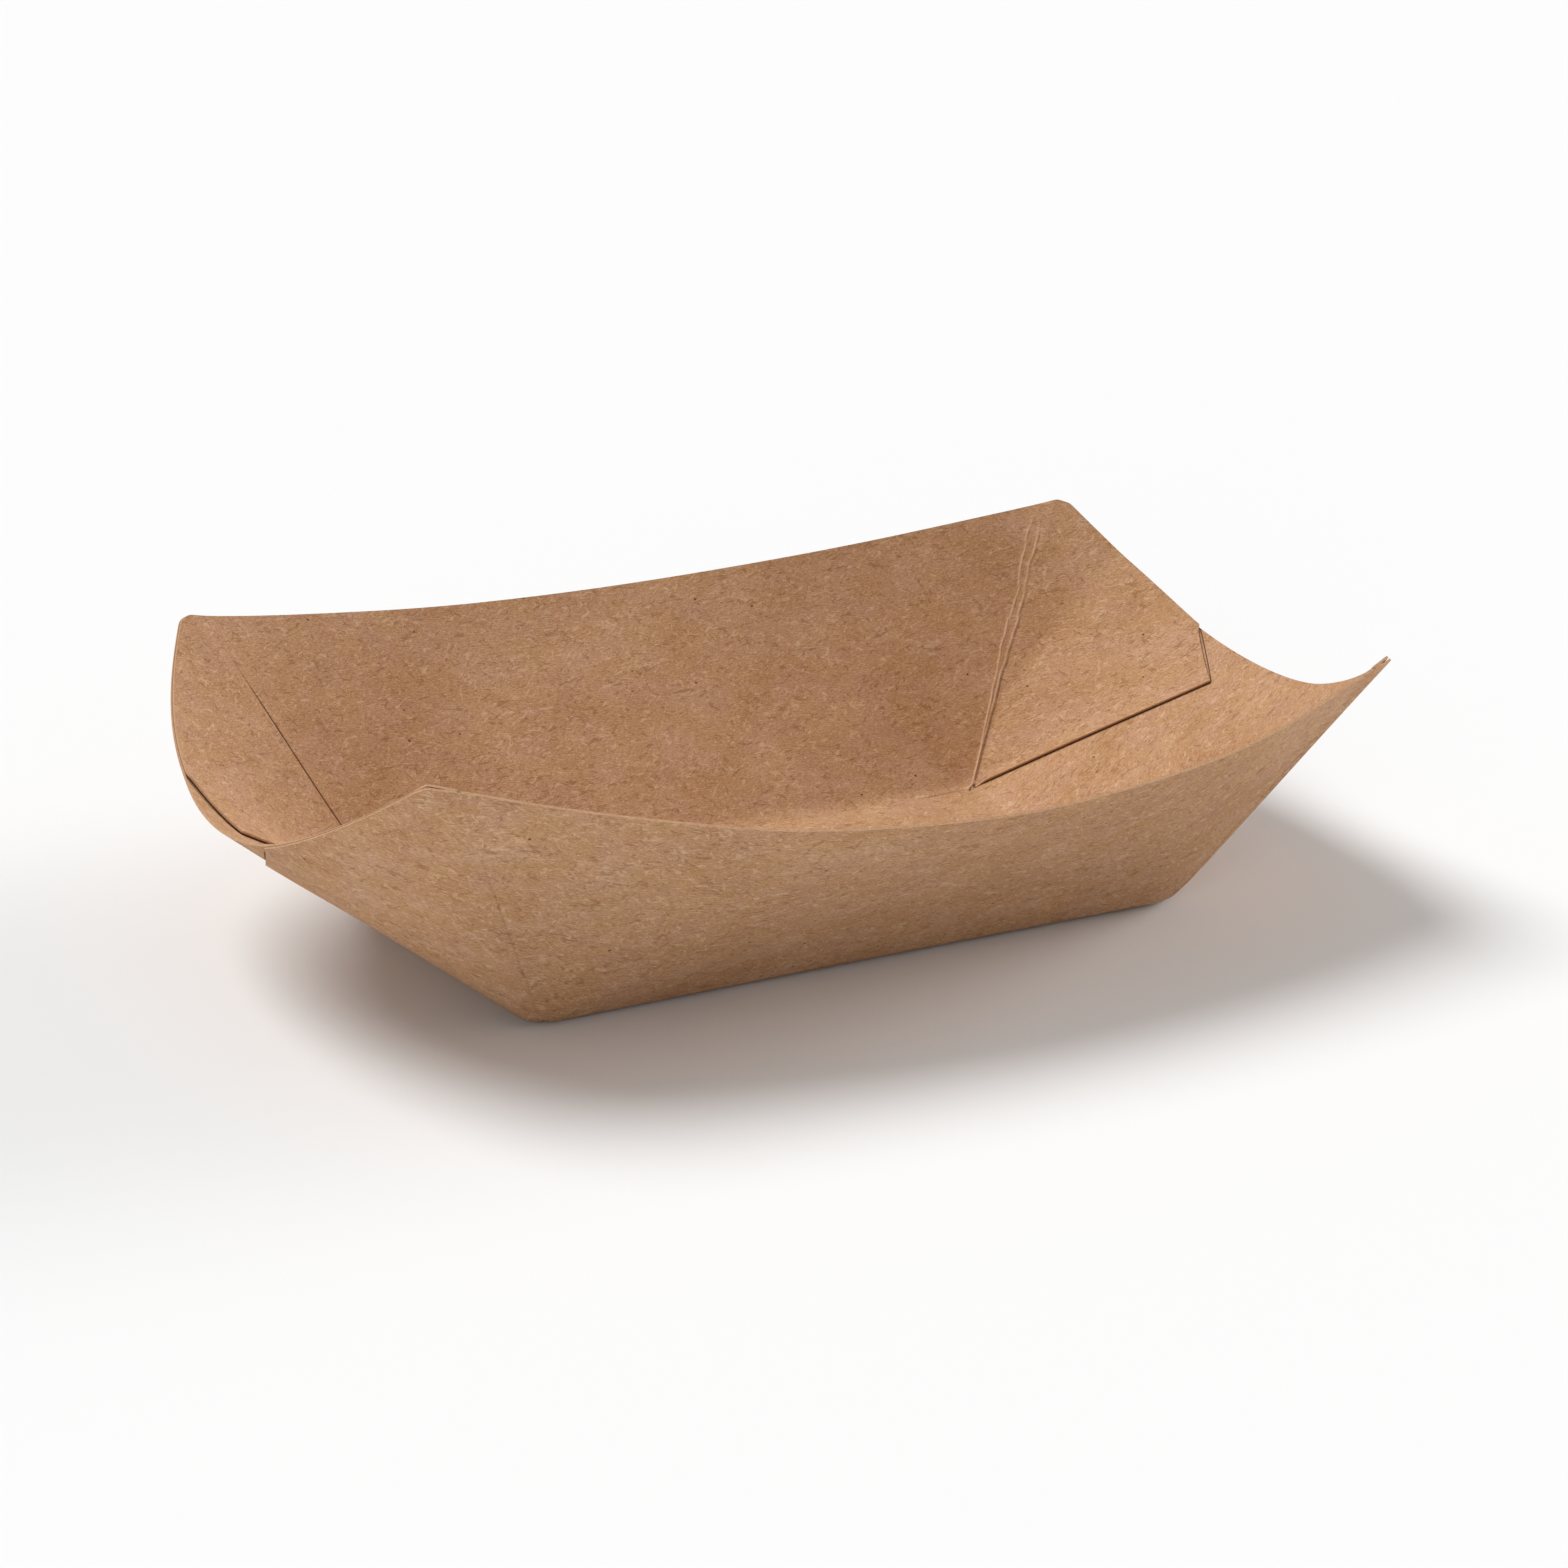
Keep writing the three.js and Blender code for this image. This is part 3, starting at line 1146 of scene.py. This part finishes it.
    @staticmethod
    def risen(points: np.ndarray, foot: np.ndarray, rise: float) -> np.ndarray:
        """Gives the steps that lengthen rays from a foot by a rise that grows from 0 at the first one.

        Args:
            points: Ends of the rays.
            foot: Where the rays start.
            rise: What all but the first few rays gain.

        Returns:
            The steps.
        """
        rays = points - foot
        rays /= np.linalg.norm(rays, axis=1)[:, None]
        return rays * (rise * smooth_step(np.linspace(0.0, 1.0 / RISE_SHARE, len(points))))[:, None]

    def racked(self, points: np.ndarray) -> np.ndarray:
        """Racks the tray and lifts its long rims a little, as in the photograph, while the floor stays.

        With x, y and the height as shares a, b and h of a peak's, a point rises by
        h (rack a b + rim_lift min(b^2, 1) - corner_ease (a b)^2), the last only at the back right.

        Args:
            points: Points of the true tray.

        Returns:
            The moved points.
        """
        size = self.sizes
        along = points[:, 0] / (size.peak_length / 2)
        across = points[:, 1] / (size.peak_width / 2)
        height = np.maximum(0.0, points[:, 2] - size.board) / size.peak_height
        rise = size.rack * along * across + self.rim_lift * np.minimum(across**2, 1.0)
        rise -= self.corner_ease * (np.clip(along, 0.0, 1.0) * np.clip(across, 0.0, 1.0)) ** 2
        moved = points.copy()
        moved[:, 2] += rise * height
        return moved

    def build(self, board: bpy.types.Material, cut: bpy.types.Material) -> bpy.types.Object:
        """Builds the tray's mesh and dresses it.

        Args:
            board: Finish of the faces.
            cut: Finish of the cut edges.

        Returns:
            The finished piece, riding on the frame.
        """
        shells = [self.sheet()] + [self.flap(end, side) for end in End for side in Side]
        piece = mesh_object("tray_sheet", shells, self.racked, [board, cut])
        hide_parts(CAD_NODE)
        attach(piece, "root")
        return piece


def mesh_object(
    name: str,
    shells: list[Shell],
    move: Callable[[np.ndarray], np.ndarray],
    materials: list[bpy.types.Material],
) -> bpy.types.Object:
    """Puts shells into one mesh object with smooth faces, sharp cut edges and the blank as its UV map.

    Args:
        name: The object's name.
        shells: The solids.
        move: Function that gives each vertex its last place.
        materials: Finish of the faces and finish of the cut edges.

    Returns:
        The object, linked to the scene.
    """
    starts = np.cumsum([0] + [len(shell.vertices) for shell in shells[:-1]])
    vertices = move(np.concatenate([shell.vertices for shell in shells]))
    faces = np.concatenate([shell.faces + start for shell, start in zip(shells, starts)])
    flat = np.concatenate([shell.flat for shell in shells]).reshape(-1, 2)
    edge_faces = np.concatenate([shell.edge_faces for shell in shells])
    mesh = bpy.data.meshes.new(name)
    mesh.vertices.add(len(vertices))
    mesh.vertices.foreach_set("co", vertices.astype(np.float32).ravel())
    mesh.loops.add(faces.size)
    mesh.loops.foreach_set("vertex_index", faces.astype(np.int32).ravel())
    mesh.polygons.add(len(faces))
    mesh.polygons.foreach_set("loop_start", np.arange(0, faces.size, 3, dtype=np.int32))
    mesh.polygons.foreach_set("material_index", edge_faces.astype(np.int32))
    mesh.update(calc_edges=True)
    blank = mesh.uv_layers.new(name="blank")
    blank.uv.foreach_set("vector", flat.astype(np.float32).ravel())
    for label in ("wear", "shade"):
        values = np.concatenate([getattr(shell, label) for shell in shells])
        layer = mesh.attributes.new(label, "FLOAT", "POINT")
        layer.data.foreach_set("value", np.clip(values, 0.0, 1.0).astype(np.float32))
    for material in materials:
        mesh.materials.append(material)
    mesh.polygons.foreach_set("use_smooth", np.ones(len(faces), bool))
    mesh.set_sharp_from_angle(angle=SHARP_ANGLE)
    mesh.validate()
    piece = bpy.data.objects.new(name, mesh)
    bpy.context.scene.collection.objects.link(piece)
    return piece


@dataclass(frozen=True)
class Cloud:
    """Cloud pattern: clouds to a millimetre along and across, turn, shift and how it breaks up."""

    scale: tuple[float, float]
    turn: float
    shift: float
    detail: float
    roughness: float
    distortion: float = 0.0


@dataclass(frozen=True)
class Hairs:
    """Set of fibres: clouds to a millimetre, their turn and shift, the line's half width and the rarity."""

    scale: tuple[float, float]
    turn: float
    shift: float
    width: float
    rarity: float


def linear(colour: Colour) -> tuple[float, float, float, float]:
    """Turns a screen colour to the linear colour that shaders take.

    A share v of full strength becomes v / 12.92 up to 0.04045, and ((v + 0.055) / 1.055)^2.4 above it.

    Args:
        colour: Red, green and blue, from 0 to 255.

    Returns:
        The linear colour with full opacity.
    """
    values = [channel / 255.0 for channel in colour]
    return (*[v / 12.92 if v <= 0.04045 else ((v + 0.055) / 1.055) ** 2.4 for v in values], 1.0)


class NodeSheet:
    """Short ways to lay out a material's nodes."""

    def __init__(self, name: str) -> None:
        """Starts an empty material with its output.

        Args:
            name: The material's name.
        """
        self.material = bpy.data.materials.new(name)
        self.material.use_nodes = True
        self.tree = self.material.node_tree
        self.tree.nodes.clear()
        self.output = self.tree.nodes.new("ShaderNodeOutputMaterial")

    def add(self, kind: str, **settings: str | bool) -> bpy.types.Node:
        """Adds a node.

        Args:
            kind: The node's type.
            **settings: Properties to set, by name.

        Returns:
            The node.
        """
        node = self.tree.nodes.new(kind)
        for name, value in settings.items():
            setattr(node, name, value)
        return node

    def link(self, source: Source, target: Socket) -> None:
        """Links two sockets, or sets the target to a plain value.

        Args:
            source: Output socket or value.
            target: Input socket.
        """
        if isinstance(source, Socket):
            self.tree.links.new(source, target)
        else:
            target.default_value = source

    def math(self, operation: str, first: Source, second: Source = 0.0) -> Socket:
        """Works out one sum with a Math node.

        Args:
            operation: The node's operation.
            first: First value.
            second: Second value, where the operation has one.

        Returns:
            The result.
        """
        node = self.add("ShaderNodeMath", operation=operation)
        self.link(first, node.inputs[0])
        self.link(second, node.inputs[1])
        return node.outputs[0]

    def total(self, first: Source, second: Source) -> Socket:
        """Gives the sum of two values."""
        return self.math("ADD", first, second)

    def scaled(self, first: Source, second: Source) -> Socket:
        """Gives the product of two values."""
        return self.math("MULTIPLY", first, second)

    def both(self, first: Source, second: Source) -> Socket:
        """Gives the larger of two strengths."""
        return self.math("MAXIMUM", first, second)

    def blank(self) -> Socket:
        """Gives the place in the blank.

        Returns:
            The place in millimetres.
        """
        source = self.add("ShaderNodeUVMap", uv_map="blank")
        scale = self.add("ShaderNodeVectorMath", operation="SCALE")
        self.link(source.outputs[0], scale.inputs[0])
        scale.inputs["Scale"].default_value = 1.0 / MM
        return scale.outputs[0]

    def mark(self, name: str) -> Socket:
        """Gives one of the mesh's own marks."""
        source = self.add("ShaderNodeAttribute", attribute_type="GEOMETRY", attribute_name=name)
        return source.outputs["Fac"]

    def stretched(self, place: Socket, scale: tuple[float, float], turn: float, shift: float = 0.0) -> Socket:
        """Turns, shifts and scales a place in the blank, so that a round pattern becomes streaks.

        Args:
            place: Place in the blank.
            scale: Factors along and across.
            turn: Turn in radians.
            shift: Shift along, and with other factors across and in depth.

        Returns:
            The new place.
        """
        turned = self.add("ShaderNodeMapping")
        self.link(place, turned.inputs["Vector"])
        turned.inputs["Rotation"].default_value = (0.0, 0.0, turn)
        turned.inputs["Location"].default_value = (shift, ACROSS_SHIFT * shift, DEPTH_SHIFT * shift)
        sized = self.add("ShaderNodeMapping")
        self.link(turned.outputs[0], sized.inputs["Vector"])
        sized.inputs["Scale"].default_value = (*scale, 1.0)
        return sized.outputs[0]

    def cloud(self, place: Socket, cloud: Cloud) -> Socket:
        """Draws a cloud pattern.

        Args:
            place: Place in the blank.
            cloud: The pattern.

        Returns:
            Value between 0 and 1.
        """
        node = self.add("ShaderNodeTexNoise", noise_dimensions="3D")
        self.link(self.stretched(place, cloud.scale, cloud.turn, cloud.shift), node.inputs["Vector"])
        node.inputs["Scale"].default_value = 1.0
        node.inputs["Detail"].default_value = cloud.detail
        node.inputs["Roughness"].default_value = cloud.roughness
        node.inputs["Distortion"].default_value = cloud.distortion
        return node.outputs["Fac"]

    def fibres(self, place: Socket, hairs: Hairs) -> Socket:
        """Draws short curved fibres: the contour line of a stretched cloud, kept where another one is high.

        Args:
            place: Place in the blank.
            hairs: The set of fibres.

        Returns:
            1 on a fibre and 0 off it.
        """
        ground = self.cloud(place, Cloud(hairs.scale, hairs.turn, hairs.shift, *HAIR_CLOUD))
        off = self.math("ABSOLUTE", self.math("SUBTRACT", ground, 0.5))
        line = self.remap(off, 0.0, hairs.width, 1.0, 0.0)
        patches = Cloud(PATCH_SCALE, hairs.turn, hairs.shift + PATCH_SHIFT, *PATCH_CLOUD)
        where = self.cloud(place, patches)
        return self.scaled(line, self.remap(where, hairs.rarity, hairs.rarity + PATCH_EDGE))

    def remap(
        self, value: Source, low: float, high: float, to_low: float = 0.0, to_high: float = 1.0
    ) -> Socket:
        """Maps a range to another one, held at its ends.

        Args:
            value: What is mapped.
            low: Start of its range.
            high: End of its range.
            to_low: What the start becomes.
            to_high: What the end becomes.

        Returns:
            The mapped value.
        """
        node = self.add("ShaderNodeMapRange", clamp=True)
        names = ("Value", "From Min", "From Max", "To Min", "To Max")
        for name, source in zip(names, (value, low, high, to_low, to_high)):
            self.link(source, node.inputs[name])
        return node.outputs[0]

    def mixed(self, factor: Source, first: Source, second: Source) -> Socket:
        """Mixes two colours.

        Args:
            factor: 0 for the first and 1 for the second.
            first: First colour.
            second: Second colour.

        Returns:
            The mixed colour.
        """
        node = self.add("ShaderNodeMix", data_type="RGBA", blend_type="MIX")
        for index, source in zip(MIX_INPUTS, (factor, first, second)):
            self.link(source, node.inputs[index])
        return node.outputs[MIX_RESULT]

    def finished(
        self, colour: Socket, height: Socket, roughness: Source, specular: float
    ) -> bpy.types.Material:
        """Ends the material with its shader, with a bump of BUMP_DEPTH for a unit of height.

        Args:
            colour: Base colour.
            height: Relief.
            roughness: Roughness.
            specular: Strength of the gloss.

        Returns:
            The material.
        """
        bump = self.add("ShaderNodeBump")
        bump.inputs["Strength"].default_value = 1.0
        bump.inputs["Distance"].default_value = BUMP_DEPTH
        self.link(height, bump.inputs["Height"])
        shader = self.add("ShaderNodeBsdfPrincipled")
        self.link(colour, shader.inputs["Base Color"])
        self.link(bump.outputs[0], shader.inputs["Normal"])
        self.link(roughness, shader.inputs["Roughness"])
        shader.inputs["Specular IOR Level"].default_value = specular
        self.link(shader.outputs[0], self.output.inputs["Surface"])
        return self.material


@dataclass(frozen=True)
class BrownBoard:
    """Uncoated brown fibre board: clouds, fibres along the grain, curled hairs, specks, worn creases and
    painted shade.
    """

    base: Colour = (187, 143, 102)
    rosy: Colour = (189, 145, 112)
    pale: Colour = (220, 186, 154)
    deep: Colour = (138, 94, 60)
    speck: Colour = (74, 42, 24)
    worn: Colour = (216, 180, 149)
    # Colour of all painted shade: in creases and in the slit, and the painted shadows under the flaps' edges.
    painted_shade: Colour = (78, 40, 21)
    clouds: Cloud = Cloud((0.055, 0.085), 0.0, 3.0, 3.0, 0.55)
    blotches: Cloud = Cloud((0.26, 0.46), 0.1, 11.0, 3.0, 0.6, 0.4)
    streaks: Cloud = Cloud((1.1, 4.4), 0.05, 17.0, 3.0, 0.62, 0.35)
    cross: Cloud = Cloud((1.2, 3.7), -0.65, 29.0, 2.0, 0.6, 0.5)
    grain: Cloud = Cloud((2.4, 4.2), 0.15, 23.0, 2.0, 0.7)
    blush: Cloud = Cloud((0.10, 0.16), 0.3, 37.0, 2.0, 0.5)
    cloud_range: tuple[float, float] = (0.3, 0.7)
    blush_range: tuple[float, float] = (0.42, 0.62)
    cloud_reach: float = 0.07
    blotch_reach: float = 0.06
    streak_reach: float = 0.22
    cross_reach: float = 0.12
    grain_reach: float = 0.18
    light_hairs: tuple[Hairs, Hairs] = (
        Hairs((0.24, 0.90), 0.10, 5.0, 0.040, 0.52),
        Hairs((0.30, 0.76), -0.60, 57.0, 0.037, 0.55),
    )
    dark_hairs: tuple[Hairs, Hairs] = (
        Hairs((0.22, 0.85), -0.12, 71.0, 0.042, 0.52),
        Hairs((0.30, 0.64), 0.85, 93.0, 0.038, 0.57),
    )
    light_strength: float = 0.58
    dark_strength: float = 0.60
    worn_strength: float = 0.8
    shade_strength: float = 0.85
    speck_strength: float = 0.9
    speck_scale: tuple[float, float] = (0.085, 0.11)
    speck_turn: float = 0.3
    speck_shift: float = 7.0
    speck_edge: tuple[float, float] = (0.012, 0.030)
    speck_rarity: tuple[float, float] = (0.80, 0.84)
    streak_relief: float = 0.9
    grain_relief: float = 0.5
    cross_relief: float = 0.5
    fibre_relief: float = 0.3
    roughness: float = 0.86
    roughness_reach: float = 0.06
    streak_range: tuple[float, float] = (0.2, 0.8)
    stroke_core: float = 0.4
    specular: float = 0.25

    def material(self, strokes: list[Stroke]) -> bpy.types.Material:
        """Builds the board's material, drawn in the blank.

        The tone starts at 0.5 and each pattern moves it by its reach at the most. Below 0.5 it runs to the
        deep colour and above to the pale one.

        Args:
            strokes: Lines of painted shade in cuts, and painted shadows under edges.

        Returns:
            The material.
        """
        sheet = NodeSheet("brown_board")
        place = sheet.blank()
        clouds = sheet.cloud(place, self.clouds)
        blotches = sheet.cloud(place, self.blotches)
        streaks = sheet.cloud(place, self.streaks)
        cross = sheet.cloud(place, self.cross)
        grain = sheet.cloud(place, self.grain)
        tone = sheet.remap(clouds, *self.cloud_range, -self.cloud_reach, self.cloud_reach)
        tone = sheet.total(tone, 0.5)
        reaches = (self.blotch_reach, self.streak_reach, self.cross_reach, self.grain_reach)
        for pattern, reach in zip((blotches, streaks, cross, grain), reaches):
            tone = sheet.total(tone, sheet.remap(pattern, *CLOUD_RANGE, -reach, reach))
        rosy = sheet.remap(sheet.cloud(place, self.blush), *self.blush_range)
        ground = sheet.mixed(rosy, linear(self.base), linear(self.rosy))
        colour = sheet.mixed(sheet.remap(tone, 0.0, 0.5), linear(self.deep), ground)
        colour = sheet.mixed(sheet.remap(tone, 0.5, 1.0), colour, linear(self.pale))
        light_fibres = sheet.both(*[sheet.fibres(place, hairs) for hairs in self.light_hairs])
        dark_fibres = sheet.both(*[sheet.fibres(place, hairs) for hairs in self.dark_hairs])
        # Painted shade: the mesh's shade mark and the drawn strokes.
        shade = sheet.both(
            sheet.scaled(sheet.mark("shade"), self.shade_strength), self.drawn(sheet, place, strokes)
        )
        for strength, over in (
            (sheet.scaled(light_fibres, self.light_strength), self.pale),
            (sheet.scaled(dark_fibres, self.dark_strength), self.deep),
            (self.specks(sheet, place), self.speck),
            (sheet.scaled(sheet.mark("wear"), self.worn_strength), self.worn),
            (shade, self.painted_shade),
        ):
            colour = sheet.mixed(strength, colour, linear(over))
        height = sheet.scaled(streaks, self.streak_relief)
        for pattern, factor in (
            (grain, self.grain_relief),
            (cross, self.cross_relief),
            (light_fibres, self.fibre_relief),
            (dark_fibres, -self.fibre_relief),
        ):
            height = sheet.total(height, sheet.scaled(pattern, factor))
        smooth, rough = self.roughness - self.roughness_reach, self.roughness + self.roughness_reach
        roughness = sheet.remap(streaks, *self.streak_range, smooth, rough)
        return sheet.finished(colour, height, roughness, self.specular)

    def specks(self, sheet: NodeSheet, place: Socket) -> Socket:
        """Draws rare small dark specks: the core of a few cells of a cell pattern.

        Args:
            sheet: The material's nodes.
            place: Place in the blank, in millimetres.

        Returns:
            The speck's strength.
        """
        cells = sheet.add("ShaderNodeTexVoronoi", voronoi_dimensions="2D", feature="F1")
        moved = sheet.stretched(place, self.speck_scale, self.speck_turn, self.speck_shift)
        sheet.link(moved, cells.inputs["Vector"])
        cells.inputs["Scale"].default_value = 1.0
        core = sheet.remap(cells.outputs["Distance"], *self.speck_edge, 1.0, 0.0)
        chosen = sheet.add("ShaderNodeSeparateColor")
        sheet.link(cells.outputs["Color"], chosen.inputs[0])
        rare = sheet.remap(chosen.outputs[0], *self.speck_rarity)
        return sheet.scaled(sheet.scaled(core, rare), self.speck_strength)

    def drawn(self, sheet: NodeSheet, place: Socket, strokes: list[Stroke]) -> Source:
        """Draws strokes of painted shade, each dark in a core along its middle and clear beyond its half
        width and its ends.

        Args:
            sheet: The material's nodes.
            place: Place in the blank, in millimetres.
            strokes: The strokes.

        Returns:
            The darkest stroke's strength.
        """
        darkest = 0.0
        for stroke in strokes:
            middle, length, turn = stroke.line()
            moved = sheet.add("ShaderNodeVectorMath", operation="SUBTRACT")
            sheet.link(place, moved.inputs[0])
            moved.inputs[1].default_value = (middle[0] / MM, middle[1] / MM, 0.0)
            parts = sheet.add("ShaderNodeSeparateXYZ")
            sheet.link(sheet.stretched(moved.outputs[0], (1.0, 1.0), -turn), parts.inputs[0])
            along, across = (sheet.math("ABSOLUTE", parts.outputs[index]) for index in (0, 1))
            half = stroke.half / MM
            reach = 0.5 * length / MM
            line = sheet.scaled(
                sheet.remap(across, self.stroke_core * half, half, stroke.strength, 0.0),
                sheet.remap(along, reach - half, reach, 1.0, 0.0),
            )
            darkest = sheet.both(darkest, line)
        return darkest


@dataclass(frozen=True)
class CutEdge:
    """Cut edge of the board: a little paler, with short fibres across it, and painted shade next to a flap's
    glued face.
    """

    base: Colour = (205, 168, 134)
    deep: Colour = (168, 124, 88)
    painted_edge_shade: Colour = (88, 50, 28)
    fray: Cloud = Cloud((2.4, 6.0), 0.0, 5.0, 4.0, 0.7)
    fray_range: tuple[float, float] = (0.3, 0.7)
    shade_start: float = 0.55
    roughness: float = 0.95
    specular: float = 0.2

    def material(self) -> bpy.types.Material:
        """Builds the cut edge's material.

        Returns:
            The material.
        """
        sheet = NodeSheet("cut_edge")
        fray = sheet.cloud(sheet.blank(), self.fray)
        colour = sheet.mixed(sheet.remap(fray, *self.fray_range), linear(self.deep), linear(self.base))
        # Painted shade where the shade mark is strong, as next to a flap's glued face.
        shade = sheet.remap(sheet.mark("shade"), self.shade_start, 1.0)
        colour = sheet.mixed(shade, colour, linear(self.painted_edge_shade))
        return sheet.finished(colour, fray, self.roughness, self.specular)


@dataclass(frozen=True)
class Lamp:
    """One broad, far and even lamp: its place round the tray and its breadth in degrees, and its strength."""

    name: str
    azimuth: float
    elevation: float
    breadth: float
    strength: float

    def direction(self) -> Vector:
        """Gives the unit vector from the tray to the lamp, with azimuth 0 in front and 90 to the right."""
        turn, rise = math.radians(self.azimuth), math.radians(self.elevation)
        return Vector((math.sin(turn) * math.cos(rise), -math.cos(turn) * math.cos(rise), math.sin(rise)))


@dataclass
class Studio:
    """Floor, lamps, world and camera, in metres and degrees, with the lens and the sensor in millimetres."""

    camera_place: tuple[float, float, float] = (-0.2893, -0.4608, 0.2250)
    yaw: float = 28.82
    pitch: float = 23.69
    roll: float = 1.94
    aim: tuple[float, float, float] = (0.0, 0.0, 0.022)
    lens: float = 74.27
    sensor: float = 36.0
    sight: float = 100.0
    floor_side: float = 60.0
    floor_drop: float = 0.05 * MM
    floor_tone: float = 0.812
    backdrop: float = 0.982
    world_strength: float = 0.30
    lamps: tuple[Lamp, ...] = (
        Lamp("front_left", 315.0, 20.0, 34.0, 0.50),
        Lamp("back_left", 225.0, 59.0, 34.0, 2.50),
        Lamp("right", 90.0, 15.0, 34.0, 2.10),
    )

    def floor(self) -> bpy.types.Object:
        """Lays the plain pale floor under the tray.

        Returns:
            The floor.
        """
        half, drop = self.floor_side / 2, self.floor_drop
        mesh = bpy.data.meshes.new("studio_floor")
        corners = [(-half, -half, -drop), (half, -half, -drop), (half, half, -drop), (-half, half, -drop)]
        mesh.from_pydata(corners, [], [(0, 1, 2, 3)])
        floor = bpy.data.objects.new("studio_floor", mesh)
        bpy.context.scene.collection.objects.link(floor)
        sheet = NodeSheet("pale_floor")
        shader = sheet.add("ShaderNodeBsdfDiffuse")
        shader.inputs["Color"].default_value = (self.floor_tone, self.floor_tone, self.floor_tone, 1.0)
        sheet.link(shader.outputs[0], sheet.output.inputs["Surface"])
        mesh.materials.append(sheet.material)
        return floor

    def light(self) -> None:
        """Sets the lamps and the world, which lights evenly and shows the camera a white backdrop."""
        for lamp in self.lamps:
            data = bpy.data.lights.new(lamp.name, "SUN")
            data.angle = math.radians(lamp.breadth)
            data.energy = lamp.strength
            body = bpy.data.objects.new(lamp.name, data)
            body.location = lamp.direction()
            body.rotation_euler = (-lamp.direction()).to_track_quat("-Z", "Y").to_euler()
            bpy.context.scene.collection.objects.link(body)
        world = bpy.data.worlds.new("studio_world")
        world.use_nodes = True
        tree = world.node_tree
        tree.nodes.clear()
        output = tree.nodes.new("ShaderNodeOutputWorld")
        path = tree.nodes.new("ShaderNodeLightPath")
        mix = tree.nodes.new("ShaderNodeMixShader")
        tree.links.new(path.outputs["Is Camera Ray"], mix.inputs[0])
        for index, strength in ((1, self.world_strength), (2, self.backdrop)):
            sky = tree.nodes.new("ShaderNodeBackground")
            sky.inputs["Color"].default_value = (1.0, 1.0, 1.0, 1.0)
            sky.inputs["Strength"].default_value = strength
            tree.links.new(sky.outputs[0], mix.inputs[index])
        tree.links.new(mix.outputs[0], output.inputs["Surface"])
        bpy.context.scene.world = world

    def camera(self) -> bpy.types.Object:
        """Sets the camera at the photograph's place and turns it to the tray's middle.

        Yaw, pitch and roll give the photograph's own axes. The shortest turn from its forward axis to the aim
        carries the other two along, so the tray is seen with the same perspective, in the frame's middle.

        Returns:
            The camera.
        """
        yaw, pitch, roll = (math.radians(angle) for angle in (self.yaw, self.pitch, self.roll))
        forward = Vector((math.sin(yaw) * math.cos(pitch), math.cos(yaw) * math.cos(pitch), -math.sin(pitch)))
        level = Vector((math.cos(yaw), -math.sin(yaw), 0.0))
        upright = level.cross(forward)
        right = math.cos(roll) * level + math.sin(roll) * upright
        up = -math.sin(roll) * level + math.cos(roll) * upright
        place = Vector(self.camera_place)
        aimed = (Vector(self.aim) - place).normalized()
        turn = forward.rotation_difference(aimed)
        right.rotate(turn)
        up.rotate(turn)
        data = bpy.data.cameras.new("camera")
        data.lens = self.lens
        data.sensor_width = self.sensor
        data.clip_end = self.sight
        body = bpy.data.objects.new("camera", data)
        axes = Matrix((right, up, -aimed)).transposed().to_4x4()
        body.matrix_world = Matrix.Translation(place) @ axes
        bpy.context.scene.collection.objects.link(body)
        bpy.context.scene.camera = body
        return body


def main() -> None:
    """Builds the tray and the studio."""
    logging.basicConfig(level=logging.INFO, format="%(name)s: %(message)s")
    bpy.context.scene.view_settings.view_transform = "Standard"
    studio = Studio()
    studio.camera()
    studio.floor()
    studio.light()
    folded = FoldedTray()
    tray = folded.build(BrownBoard().material(folded.strokes()), CutEdge().material())
    LOG.info("%s: %d triangles", tray.name, len(tray.data.polygons))


if __name__ == "__main__":
    main()
